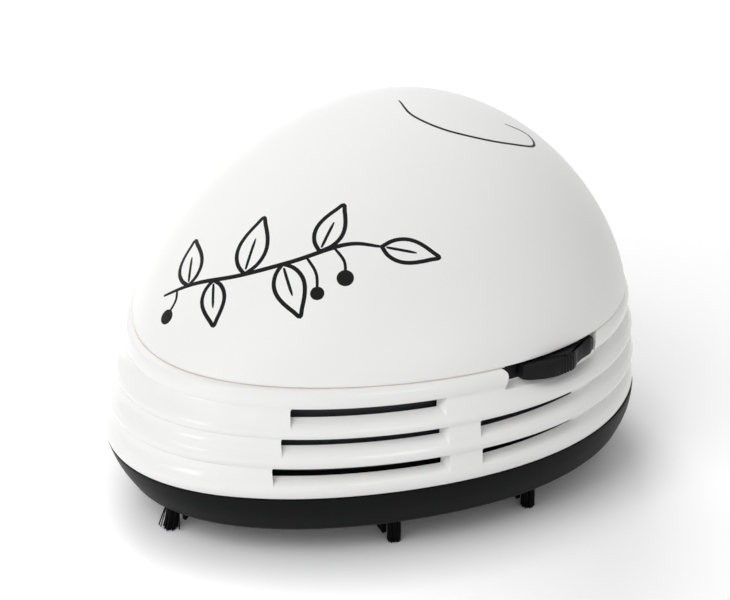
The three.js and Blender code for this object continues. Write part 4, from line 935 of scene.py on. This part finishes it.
def egg_shell_tree(material):
    """A profile wrapped round the tray's egg outline. A profile point holds its inset from the
    outline, its share of the way to the round inlet bore, and its height."""
    tree, values = new_tree("egg_shell", {
        "Sides": BODY_SIDES, "Length": BODY_LENGTH, "Half Width": BODY_HALF_WIDTH,
        "Fullness": BASE_FULLNESS_SHARE, "Seam Height": TRAY_SEAM, "Depth": TRAY_DEPTH,
        "Nose Draft": TRAY_NOSE_DRAFT, "Tail Draft": TRAY_TAIL_DRAFT, "Side Draft": TRAY_SIDE_DRAFT,
        "End Swell": TRAY_END_SWELL,
        "Bore Radius": INLET_RADIUS + INLET_WALL + GAP, "Bore Y": FAN_AXIS_Y,
    })
    profile, position = values["Geometry"], node(tree, "GeometryNodeInputPosition")
    values["count"] = node(tree, "GeometryNodeAttributeDomainSize", {"Geometry": profile}, "Point Count")
    values["full_turn"] = FULL_TURN
    place = node(tree, "ShaderNodeSeparateXYZ", {0: position}).node.outputs
    values.update(across=place["X"], along=place["Y"])
    work_out(tree, values, """
        rows = count + 1
        columns = Sides + 1
        level = count * 0.5 + across
        rounded = round level
        row = rounded % count
        angle = along / Sides * full_turn
        sine = sine angle
        cosine = cosine angle
        endwards = absolute cosine
    """)
    grid = node(tree, "GeometryNodeMeshGrid", {
        "Size X": values["count"], "Size Y": values["Sides"],
        "Vertices X": values["rows"], "Vertices Y": values["columns"],
    })
    sampled = node(tree, "GeometryNodeSampleIndex", {
        "Geometry": profile, "Value": position, "Index": values["row"],
    }, data_type="FLOAT_VECTOR")
    point = node(tree, "ShaderNodeSeparateXYZ", {0: sampled}).node.outputs
    values.update(inset=point["X"], share=point["Y"], height=point["Z"])
    values["swollen"] = node(tree, "ShaderNodeMapRange", {
        "Value": values["endwards"], "From Min": END_SWELL_COSINES[0], "From Max": END_SWELL_COSINES[1],
        "To Max": values["End_Swell"],
    }, interpolation_type="SMOOTHSTEP")
    work_out(tree, values, """
        drawn = inset - swollen
        under = Seam_Height - height
        drop = under / Depth
        nose_in = drop * Nose_Draft + drawn
        tail_in = drop * Tail_Draft + drawn
        side_in = drop * Side_Draft + drawn
        nose = Length * 0.5 - nose_in
        tail = Length * 0.5 - tail_in
        side = Half_Width - side_in
        both = nose + tail
        reach = both * 0.5
        unlike = tail - nose
        middle = unlike * 0.5
        fuller = Fullness * cosine + 1
        x = side * sine * fuller
        y = reach * cosine + middle
        bore_x = Bore_Radius * sine
        bore_y = Bore_Radius * cosine + Bore_Y
        skin_place = xyz x y height
        bore_place = xyz bore_x bore_y height
    """)
    between = node(tree, "ShaderNodeMix", {
        "Factor": values["share"], 4: values["skin_place"], 5: values["bore_place"],
    }, 1, data_type="VECTOR")
    wrapped = node(tree, "GeometryNodeSetPosition", {"Geometry": grid, "Position": between})
    end_tree(tree, node(tree, "GeometryNodeMergeByDistance", {
        "Geometry": wrapped, "Distance": MERGE_DISTANCE,
    }), material)
    return tree


def tray_profile():
    """The tray's wall, rounded lower edge and floor, as inset, share of the way to the bore, height."""
    edge, rim, floor = TRAY_EDGE_RADIUS, TRAY_RIM_ROUND, BRUSH_REACH + TRAY_FLOOR
    points = [(rim, 0, TRAY_SEAM), (rim * 0.3, 0, TRAY_SEAM - rim * 0.3)]
    points += [
        (-TRAY_BELLY * math.sin(i / BELLY_STEPS * math.pi), 0, height)
        for i, height in enumerate(np.linspace(TRAY_SEAM - rim, BRUSH_REACH + edge, BELLY_STEPS + 1))
    ]
    for i in range(1, TRAY_EDGE_STEPS + 1):
        angle = i / TRAY_EDGE_STEPS * FULL_TURN / 4
        points.append((edge * (1 - math.cos(angle)), 0, BRUSH_REACH + edge * (1 - math.sin(angle))))
    points += [(edge, share, BRUSH_REACH) for share in (*TRAY_FLOOR_SHARES, 1)]
    points += [(TRAY_WALL + rim, share, floor) for share in (1, *reversed(TRAY_FLOOR_SHARES), 0)]
    points += [(TRAY_WALL, 0, floor + rim), (TRAY_WALL, 0, TRAY_SEAM)]
    return points


BRUSHES = {
    "brush_front": ([0.5], NOSE_TUFT_INSET, NOSE_TUFT_LEAN),
    "brush_right": (SIDE_TUFT_TURNS, SIDE_TUFT_INSET, 0),
    "brush_left": ([1 - turn for turn in reversed(SIDE_TUFT_TURNS)], SIDE_TUFT_INSET, 0),
    "brush_rear": (TAIL_TUFT_TURNS, SIDE_TUFT_INSET, 0),
}


def turns_for(length, turn, inset):
    """The share of a turn that a length spans on the underside's outline."""
    step = 1 / 48
    run = skin(turn - step, inset, BRUSH_REACH) - skin(turn + step, inset, BRUSH_REACH)
    return length * 2 * step / float(np.linalg.norm(run))


def strip_bar(name, brush, low, high, margin, soft=0):
    """An upright bar along the underside's outline that spans a brush's tufts."""
    turns, inset, _ = brush
    half = STRIP_WIDTH / 2 + margin
    first = turns[0] - turns_for(half, turns[0], inset)
    last = turns[-1] + turns_for(half, turns[-1], inset)
    rings = []
    for turn in np.linspace(first, last, STATIONS):
        outer, inner = skin(turn, inset - half, BRUSH_REACH), skin(turn, inset + half, BRUSH_REACH)
        inwards = (inner - outer) / np.linalg.norm(inner - outer) * soft
        section = ((outer, high), (outer, low + soft), (outer + inwards, low),
                   (inner - inwards, low), (inner, low + soft), (inner, high))
        rings.append([(at[0], at[1], level) for at, level in section])
    return lofted(name, rings)


def tuft_fin(brush, turn):
    """A thin triangular fin that stiffens the tray beside a tuft, on its inner side."""
    _, inset, lean = brush
    middle = skin(turn, inset, BRUSH_REACH)
    level = abs(middle[0]) > TUFT_RADIUS
    inwards = np.array([-math.copysign(1, middle[0]), 0, 0] if level else [0, -math.copysign(1, middle[1]), 0])
    across = np.array([-inwards[1], inwards[0], 0])
    start = TUFT_RADIUS + TUFT_SPLAY + CAD_STRAND_RADIUS + FIN_GAP + (0 if lean else GAP)
    end, half, rings = start + FIN_LENGTH, FIN_THICKNESS / 2, []
    for side, draw in ((-half, FIN_EDGE), (-half + FIN_EDGE, 0), (half - FIN_EDGE, 0), (half, FIN_EDGE)):
        section = ((start + draw, draw - FIN_DEPTH), (end, 0), (end, GAP), (start, GAP))
        rings.append([middle + inwards * run + across * side + (0, 0, rise) for run, rise in section])
    return lofted("fin", rings)


def base_tray():
    grown_shell = grown("base_tray_shell", egg_shell_tree(black), points_mesh("tray_profile", tray_profile()))
    channels = [
        strip_bar(f"{name}_channel", brush, 0, BRUSH_REACH + STRIP_THICKNESS + GAP, GAP)
        for name, brush in BRUSHES.items()
    ]
    fins = [tuft_fin(brush, turn) for brush in BRUSHES.values() for turn in brush[0]]
    channelled = combined(sealed(shape_of(grown_shell), "base_tray_shell"), channels, "DIFFERENCE")
    piece("base_tray_shell", smoothed(combined(channelled, fins, "UNION")), "tray", "black_abs", ["base_tray"])


# Brushes


def bristle_tree(material):
    """Tufts of fine strands, one tuft for each starting point. A point's outwards vector tells
    which way its strands lean and how far."""
    tree, values = new_tree("bristle_tufts", {
        "Strand Count": 150, "Tuft Radius": TUFT_RADIUS - 0.35 * MM, "Splay": 0.02 * MM, "Reach": BRUSH_REACH,
        "Strand Radius": 0.13 * MM, "Uneven": 0.45 * MM, "Stray": FRONT_STRAY, "Seed": 7,
    })

    def vector(name):
        return node(tree, "GeometryNodeInputNamedAttribute", {"Name": name}, data_type="FLOAT_VECTOR")

    copies = node(tree, "GeometryNodeDuplicateElements", {
        "Geometry": values["Geometry"], "Amount": values["Strand_Count"],
    }, domain="POINT")
    values.update(
        number=copies.node.outputs["Duplicate Index"], outwards=vector("outwards"), pi=math.pi,
        golden_angle=math.pi * (3 - math.sqrt(5)), stray_power=STRAY_POWER, strand_bend=STRAND_BEND,
    )
    identity = node(tree, "GeometryNodeInputIndex")
    for offset, (name, low, high) in enumerate([
        ("loose", -0.5, 0.5), ("short", 0.0, 1.0), ("wild", 0.0, 1.0), ("curl", -1.0, 1.0), ("sway", -1.0, 1.0),
    ]):
        work_out(tree, values, f"seed = Seed + {offset}")
        values[name] = node(tree, "FunctionNodeRandomValue", {
            2: low, 3: high, "ID": identity, "Seed": values["seed"],
        }, 1, data_type="FLOAT")
    work_out(tree, values, """
        slot = number + 0.5
        filled = slot / Strand_Count
        share = sqrt filled
        angle = number * golden_angle + loose
        cosine = cosine angle
        sine = sine angle
        spoke_x = cosine * share
        spoke_y = sine * share
        spread = wild ^ stray_power * Stray + Splay
        bend = curl * strand_bend
        swing = sway * strand_bend
        down = short ^ 2 * Uneven - Reach
        spoke = xyz spoke_x spoke_y 0
        root = spoke times Tuft_Radius
        drop = xyz bend swing down
        span = spoke times spread plus outwards plus drop
        bow = xyz swing bend 0
    """)
    held = copies
    for label in ("span", "bow"):
        held = node(tree, "GeometryNodeStoreNamedAttribute", {
            "Geometry": held, "Name": label, "Value": values[label],
        }, data_type="FLOAT_VECTOR", domain="POINT")
    rooted = node(tree, "GeometryNodeSetPosition", {"Geometry": held, "Offset": values["root"]})
    line = node(tree, "GeometryNodeCurvePrimitiveLine", {"End": (0, 0, MERGE_DISTANCE)})
    divided = node(tree, "GeometryNodeResampleCurve", {"Curve": line, "Count": STRAND_POINTS})
    strands = node(tree, "GeometryNodeInstanceOnPoints", {"Points": rooted, "Instance": divided})
    real = node(tree, "GeometryNodeRealizeInstances", {"Geometry": strands})
    values.update(
        along=node(tree, "GeometryNodeSplineParameter", gives="Factor"), span=vector("span"), bow=vector("bow"),
    )
    work_out(tree, values, """
        half_turn = along * pi
        arched = sine half_turn
        side = bow times arched
        offset = span times along plus side
    """)
    bent = node(tree, "GeometryNodeSetPosition", {"Geometry": real, "Offset": values["offset"]})
    end_tree(tree, tubes(tree, bent, values["Strand_Radius"]), material)
    return tree


def brushes():
    tree = bristle_tree(nylon)
    for name, brush in BRUSHES.items():
        turns, inset, lean = brush
        roots = [skin(turn, inset, BRUSH_REACH) for turn in turns]
        outwards = [skin(turn, 0, BRUSH_REACH) - root for turn, root in zip(turns, roots)]
        leans = [out / np.linalg.norm(out) * lean for out in outwards]
        starts = points_mesh(f"{name}_roots", roots, outwards=leans)
        stray = FRONT_STRAY if name == "brush_front" else NEAT_STRAY
        tufts = grown(f"{name}_tufts", tree, starts, {"Stray": stray})
        piece(f"{name}_tufts", tufts, "tray", "brush_nylon", [name])
        strip = strip_bar(f"{name}_strip", brush, BRUSH_REACH, BRUSH_REACH + STRIP_THICKNESS, 0, STRIP_EDGE)
        piece(f"{name}_strip", strip, "tray", "brush_nylon", material=black)


# Slide switch


def knob_outline():
    """The knob from above: low at both ends, a crown with grip serrations, then a finger scoop."""
    shares = np.linspace(0, 1, KNOB_STATIONS)
    stand = np.interp(shares, *zip(*KNOB_STANDS))
    evened = np.pad(stand, KNOB_SOFTENING // 2, "edge")
    stand = np.convolve(evened, np.ones(KNOB_SOFTENING) / KNOB_SOFTENING, "valid")
    pitch = SERRATION_PITCH / KNOB_LENGTH
    groove = np.abs(np.sin((shares - FIRST_SERRATION) / pitch * math.pi))
    inside = (shares > FIRST_SERRATION) & (shares < FIRST_SERRATION + SERRATIONS * pitch)
    stand -= np.where(inside, (1 - groove) ** 2 * SERRATION_DEPTH, 0)
    return [(side_at(y) + rise * MM, y) for y, rise in zip(KNOB_START + KNOB_LENGTH * shares, stand)]


def switch_knob():
    low, high = RIB_BOTTOMS[3] + GAP, HOUSING_TOP - GAP
    ys = np.linspace(KNOB_START + KNOB_LENGTH, KNOB_START, KNOB_BACK_STATIONS)
    outline = np.array([*knob_outline(), *((side_at(y) - KNOB_INSET, y) for y in ys)])
    edges = np.roll(outline, -1, 0) - outline
    normals = np.stack([edges[:, 1], -edges[:, 0]], 1)
    normals = normals / np.linalg.norm(normals, axis=1)[:, None]
    outwards = normals + np.roll(normals, 1, 0)
    outwards /= np.maximum(np.linalg.norm(outwards, axis=1), 0.5)[:, None]
    stand = outline[:, 0] - np.array([side_at(y) for y in outline[:, 1]])
    dropped = KNOB_DROP * np.clip(stand / KNOB_DROP_STAND, 0, 1)
    rings = []
    for height, drawn in [(low + rise * MM, drawn) for rise, drawn in KNOB_FOOT] + [
        (high + rise * MM, drawn) for rise, drawn in KNOB_HEAD
    ]:
        level = height - dropped * (high - height) / (high - low)
        rings.append(np.concatenate([outline - outwards * drawn * MM, level[:, None]], 1))
    middle, front = KNOB_START + KNOB_LENGTH / 2, side_at(KNOB_START + KNOB_LENGTH / 2)
    neck = [
        [(x, middle + NECK_LENGTH / 2 * along, KNOB_MIDDLE_HEIGHT + NECK_HEIGHT / 2 * up)
         for along, up in ((-1, -1), (1, -1), (1, 1), (-1, 1))]
        for x in (front - KNOB_INSET + GAP, front - NECK_REACH)
    ]
    mesh = merged_meshes("switch_knob_grip", [lofted("grip", rings, KNOB_SHARP), lofted("neck", neck)])
    piece("switch_knob_grip", mesh, "knob", "knob_black", ["switch_knob"])


# Inner pieces


def net_tree(material):
    """A plain weave of threads in a round frame, each going over and under the ones it crosses."""
    tree, values = new_tree("woven_net", {
        "Radius": NET_RADIUS, "Pitch": NET_PITCH, "Threads": 42, "Thread Radius": 0.09 * MM,
        "Wave": 0.09 * MM, "Height": NET_HEIGHT, "Centre Y": FAN_AXIS_Y,
    })
    work_out(tree, values, """
        spaces = Threads - 1
        first = spaces * Pitch * -0.5
        crossings = Threads * 3
        start = xyz first 0 0
        step = xyz Pitch 0 0
        centre = xyz 0 Centre_Y Height
    """)
    places = node(tree, "GeometryNodeMeshLine", {
        "Count": values["Threads"], "Start Location": values["start"], "Offset": values["step"],
    })
    marked = node(tree, "GeometryNodeStoreNamedAttribute", {
        "Geometry": places, "Name": "number", "Value": node(tree, "GeometryNodeInputIndex"),
    }, data_type="FLOAT", domain="POINT")
    line = node(tree, "GeometryNodeCurvePrimitiveLine", {"Start": (0, -1, 0), "End": (0, 1, 0)})
    thread = node(tree, "GeometryNodeResampleCurve", {"Curve": line, "Count": values["crossings"]})
    laid = node(tree, "GeometryNodeInstanceOnPoints", {"Points": marked, "Instance": thread})
    real = node(tree, "GeometryNodeRealizeInstances", {"Geometry": laid})
    place = node(tree, "ShaderNodeSeparateXYZ", {0: node(tree, "GeometryNodeInputPosition")}).node.outputs
    number = node(tree, "GeometryNodeInputNamedAttribute", {"Name": "number"}, data_type="FLOAT")
    values.update(x=place["X"], unit=place["Y"], number=number, pi=math.pi)
    work_out(tree, values, """
        x_squared = x * x
        r_squared = Radius * Radius
        rest = r_squared - x_squared max 0
        chord = sqrt rest
        y = unit * chord
        moved = y / Pitch + number
        angle = moved * pi
        cosine = cosine angle
        z = cosine * Wave
        woven = xyz x y z
    """)
    woven = node(tree, "GeometryNodeSetPosition", {"Geometry": real, "Position": values["woven"]})
    crossing = node(tree, "GeometryNodeTransform", {"Geometry": woven, "Rotation": (0, math.pi, FULL_TURN / 4)})
    both = node(tree, "GeometryNodeJoinGeometry", {"Geometry": woven})
    tree.links.new(crossing, both.node.inputs["Geometry"])
    cloth = tubes(tree, both, values["Thread_Radius"])
    moved = node(tree, "GeometryNodeTransform", {"Geometry": cloth, "Translation": values["centre"]})
    end_tree(tree, moved, material)
    return tree


def filter_net():
    mesh = grown("filter_net_weave", net_tree(net_thread), points_mesh("net_start", [(0, 0, 0)]))
    piece("filter_net_weave", mesh, "housing", "filter_net", ["filter_net"])


def cells():
    """AA cells: a sleeve with rolled edges round a steel can with its nub."""
    end, radius, nub = CELL_LENGTH / 2, CELL_RADIUS, CELL_NUB_RADIUS
    top, wall, inner = end - CELL_NUB_LENGTH, radius - GAP / 2, radius - CELL_SHOULDER
    can = [
        (0, -end), (inner - CELL_SHOULDER, -end), (inner, -end + GAP / 2), (wall, -end + CELL_SHOULDER),
        (wall, top - CELL_SHOULDER), (inner, top - GAP / 2), (inner - CELL_SHOULDER, top - GAP),
        (nub + GAP, top - GAP), (nub, top), (nub, end - GAP), (nub - GAP, end), (0, end),
    ]
    sleeve = [
        (inner, -end + GAP), (wall, -end + GAP), (radius, -end + 2 * GAP),
        (radius, top - 3 * GAP), (wall, top - 2 * GAP), (inner, top - 2 * GAP),
    ]
    for name, side in (("cell_right", 1), ("cell_left", -1)):
        for part, profile, nodes, material in (("can", can, [name], can_steel), ("sleeve", sleeve, (), jacket)):
            mesh = turned_mesh(f"{name}_{part}", profile)
            mesh.transform(Matrix.Rotation(-side * FULL_TURN / 4, 4, "X"))
            mesh.transform(Matrix.Translation((side * CELL_OFFSET, FAN_AXIS_Y, CELL_AXIS_HEIGHT)))
            piece(f"{name}_{part}", mesh, "housing", "cell_sleeve", nodes, material)


def refined(name, bevel):
    """A CAD node's shape with its doubles merged, its round faces smooth and its edges eased."""
    shape = shape_of(frame["nodes"][name].data)
    bmesh.ops.remove_doubles(shape, verts=shape.verts, dist=MERGE_DISTANCE)
    bmesh.ops.dissolve_limit(shape, angle_limit=math.radians(1), verts=shape.verts, edges=shape.edges)
    edges = [
        edge for edge in shape.edges
        if edge.is_manifold and edge.calc_face_angle(0) > math.radians(REFINED_SHARP)
        and edge.calc_length() > bevel
    ]
    if bevel:
        bmesh.ops.bevel(shape, geom=edges, offset=bevel, segments=2, profile=0.5, affect="EDGES",
                        clamp_overlap=True)
    mesh = smoothed(mesh_of(shape, f"{name}_fine"), REFINED_SHARP)
    piece(f"{name}_fine", mesh, BODIES[name], SLOTS[name], [name])


def inner_pieces():
    """The net, the cells, and every other node that has no piece of its own yet."""
    filter_net()
    cells()
    done = {"base_tray", "rib_housing", "dome_cover", "switch_knob", "filter_net", "cell_right", "cell_left"}
    for name in SLOTS:
        if name not in done and name not in BRUSHES:
            refined(name, 0 if name.startswith("lead") else REFINED_BEVEL)


# Print on the dome


def print_places(centre, azimuth, elevation):
    """The dome's surface, and a function that lays a flat print's places on it along a direction."""
    dome = bpy.data.objects["dome_cover_skin"].data
    surface = BVHTree.FromPolygons([v.co for v in dome.vertices], [tuple(p.vertices) for p in dome.polygons])
    out = towards(azimuth, elevation)
    across = Vector((0, 0, 1)).cross(out).normalized()
    up = out.cross(across)

    def lay(point):
        start = centre + across * point[0] * MM + up * point[1] * MM + out * BODY_LENGTH
        place, normal, _, _ = surface.ray_cast(start, -out)
        return place, normal

    return surface, lay


def smooth_path(points, steps=10):
    """A smooth curve through points, as many even steps between each two."""
    points = [Vector((*point, 0)) for point in points]
    points = [2 * points[0] - points[1], *points, 2 * points[-1] - points[-2]]
    path = []
    for a, b, c, d in zip(points, points[1:], points[2:], points[3:]):
        for i in range(steps):
            t = i / steps
            path.append(0.5 * ((2 * b) + (c - a) * t + (2 * a - 5 * b + 4 * c - d) * t * t
                               + (3 * b - a - 3 * c + d) * t**3))
    return [*path, points[-2]]


def ink_line(surface, lay, path, width, taper=(1, 1)):
    """A raised line of ink along a path; its width falls to a share at each end."""
    last = len(path) - 1
    laid = [lay(point) for point in path]
    rings = []
    for i, (place, normal) in enumerate(laid):
        side = (laid[min(i + 1, last)][0] - laid[max(i - 1, 0)][0]).normalized().cross(normal)
        half = width * MM / 2
        for end, run in zip(taper, (i / last, 1 - i / last)):
            half *= end + (1 - end) * math.sqrt(min(run, TAPER_SPAN) / TAPER_SPAN)
        for way, lift in INK_SECTION:
            spot, square, _, _ = surface.find_nearest(place + side * half * way)
            rings.append(spot + square * INK_HEIGHT * lift)
    return lofted("ink_line", np.array(rings).reshape(-1, len(INK_SECTION), 3))


def ink_dot(surface, lay, centre, radius, sides=28):
    """A raised round dot of ink."""
    middle, normal = lay(centre)
    across = normal.orthogonal().normalized()
    up = normal.cross(across)
    rings = []
    for share, lift in ((0.5, 1), (1, 0.6), (1, -1)):
        for angle in np.arange(sides) / sides * FULL_TURN:
            reach = (across * math.cos(angle) + up * math.sin(angle)) * radius * MM * share
            spot, square, _, _ = surface.find_nearest(middle + reach)
            rings.append(spot + square * INK_HEIGHT * lift)
    poles = [middle + normal * INK_HEIGHT, middle - normal * INK_HEIGHT]
    return capped("ink_dot", np.array(rings).reshape(-1, sides, 3), poles)


def leaf_paths(root, angle, length, width):
    """The outline and the middle vein of a leaf that grows from a root."""
    along = Vector((math.cos(angle), math.sin(angle), 0))
    side = Vector((-along.y, along.x, 0))
    root = Vector((*root, 0))

    def edge(way):
        return [
            (root + along * length * share + side * way * width / 2 * math.sin(math.pi * share**0.8)).xy
            for share in np.linspace(0, 1, 9)
        ]

    vein = [(root + along * length * share).xy for share in (0.08, 0.35, 0.62)]
    outline = smooth_path(edge(1)[:-1] + edge(-1)[::-1], 4)
    return outline, smooth_path(vein, 8)


def dome_print():
    """Plain line art of a sprig with berries on the nose end, and a tendril near the crown."""
    lines = []
    surface, lay = print_places(Vector((6, -26, 50)) * MM, 14, 40)
    stem = smooth_path([(-19, -11), (-12, -7), (-3, -3), (6, 3), (14, 10), (20, 12)])
    lines.append(ink_line(surface, lay, stem, STEM_WIDTH, (0.5, 0.5)))
    for root, degrees, length, width in [
        ((-13.5, -7.8), 118, 11, 5.5), ((-8, -5.3), -62, 10, 5), ((-2, -2.4), 104, 13, 6.2),
        ((4.5, 2), -48, 12, 5.8), ((10, 6.8), 96, 11, 5.4), ((20, 12), 12, 10, 5),
    ]:
        outline, vein = leaf_paths(root, math.radians(degrees), length, width)
        lines.append(ink_line(surface, lay, outline, LEAF_WIDTH))
        lines.append(ink_line(surface, lay, vein, FINE_WIDTH, (0.6, 0.3)))
    for root, tip, radius in [
        ((12, 8.6), (17, 3.4), 1.7), ((8, 5), (13.6, -1.4), 1.4), ((-16, -9), (-15.5, -15), 1.6),
    ]:
        stalk = smooth_path([root, ((root[0] + tip[0]) / 2 + 0.8, (root[1] + tip[1]) / 2 + 0.5), tip])
        lines.append(ink_line(surface, lay, stalk, FINE_WIDTH, (0.7, 0.7)))
        lines.append(ink_dot(surface, lay, tip, radius))
    surface, lay = print_places(Vector((6, 16, 70)) * MM, 30, 74)
    tendril = smooth_path([(-9, 5), (-4, -1), (4, -3.5), (13, -1.5), (19, 4), (17, 8.5), (12.5, 7.5)])
    lines.append(ink_line(surface, lay, tendril, FINE_WIDTH, (0.4, 0.4)))
    piece("dome_print", merged_meshes("dome_print", lines), "dome", "knob_black", material=ink)


# Camera, lights and floor


def towards(azimuth, elevation):
    """The direction from the object to a place round it, both angles in degrees."""
    azimuth, elevation = math.radians(azimuth), math.radians(elevation)
    level = math.cos(elevation)
    return Vector((math.sin(azimuth) * level, -math.cos(azimuth) * level, math.sin(elevation)))


def aimed(name, data, azimuth, elevation, distance, aim=Vector()):
    """A camera or lamp that stands out from a place along a direction and faces it."""
    thing = placed(name, data)
    back = towards(azimuth, elevation)
    thing.location = aim + back * distance
    thing.rotation_euler = back.to_track_quat("Z", "Y").to_euler()
    return thing


def photo_camera():
    data = bpy.data.cameras.new("photo_camera")
    data.lens, data.sensor_width, data.sensor_fit = CAMERA_LENS, SENSOR_WIDTH, "HORIZONTAL"
    data.clip_start, data.clip_end = 10 * MM, 20
    bpy.context.scene.camera = aimed(
        "photo_camera", data, CAMERA_AZIMUTH, CAMERA_ELEVATION, CAMERA_DISTANCE, CAMERA_AIM,
    )


def background_rays(tree):
    """One for rays that see the background: the camera's, and those in gloss and glass."""
    path = node(tree, "ShaderNodeLightPath").node.outputs
    rays = {0: path["Is Camera Ray"], 1: path["Is Glossy Ray"]}
    seen = node(tree, "ShaderNodeMath", rays, operation="MAXIMUM")
    return node(tree, "ShaderNodeMath", {0: seen, 1: path["Is Transmission Ray"]}, operation="MAXIMUM")


def studio():
    """A plain white room with soft lamps; the narrow ones are windows that show in gloss."""
    world = bpy.data.worlds.new("white_room")
    world.use_nodes = True
    tree = world.node_tree
    background = tree.nodes["Background"]
    rays = background_rays(tree)
    strength = node(tree, "ShaderNodeMapRange", {"Value": rays, "To Min": WORLD_LIGHT, "To Max": 1.0})
    tree.links.new(strength, background.inputs["Strength"])
    background.inputs["Color"].default_value = (1, 1, 1, 1)
    bpy.context.scene.world = world
    for name, (azimuth, elevation, distance, width, height, power, glossy) in LAMPS.items():
        data = bpy.data.lights.new(name, "AREA")
        data.shape, data.size, data.size_y, data.energy = "RECTANGLE", width, height, power
        aimed(name, data, azimuth, elevation, distance).visible_glossy = glossy


def white_floor():
    """A white table whose lit part shows as plain white and which keeps the object's shadow. Its glow paints
    shade:
    it falls off towards the right, a painted shadow away from the light, and close under the object, a painted
    contact shadow."""
    mesh = bpy.data.meshes.new("floor")
    mesh.from_pydata([
        (x * FLOOR_HALF, y * FLOOR_HALF, 0) for x, y in ((-1, -1), (1, -1), (1, 1), (-1, 1))
    ], [], [(0, 1, 2, 3)])
    floor = placed("floor", mesh)
    material, tree, shader, place = finish_named("white_table", Roughness=0.6)
    shader.inputs["Base Color"].default_value = linear("#F6F6F6")
    shader.inputs["Emission Color"].default_value = (1, 1, 1, 1)
    rightwards = {0: place, 1: FLOOR_RIGHTWARDS}
    across = node(tree, "ShaderNodeVectorMath", rightwards, "Value", operation="DOT_PRODUCT")
    values = {
        "seen": background_rays(tree), "contact_power": PAINTED_SHADOW_POWER,
        "open_sky": node(tree, "ShaderNodeAmbientOcclusion", {"Distance": PAINTED_SHADOW_REACH}, "AO", samples=16),
        "share": node(tree, "ShaderNodeMapRange", {
            "Value": across, "From Min": -FLOOR_PAINTED_LIGHT_REACH, "From Max": FLOOR_PAINTED_LIGHT_REACH,
            "To Min": FLOOR_LEFT_PAINTED_LIGHT, "To Max": FLOOR_RIGHT_PAINTED_LIGHT,
        }),
    }
    # The glow paints a contact shadow close under the object, and a shadow towards the right
    work_out(tree, values, """
        clear = open_sky ^ contact_power
        glow = seen * share * clear
    """)
    tree.links.new(values["glow"], shader.inputs["Emission Strength"])
    mesh.materials.append(material)


bpy.context.scene.view_settings.view_transform = "Standard"
photo_camera()
studio()
white_floor()
dome_cover()
ribbed_housing()
base_tray()
brushes()
switch_knob()
inner_pieces()
dome_print()
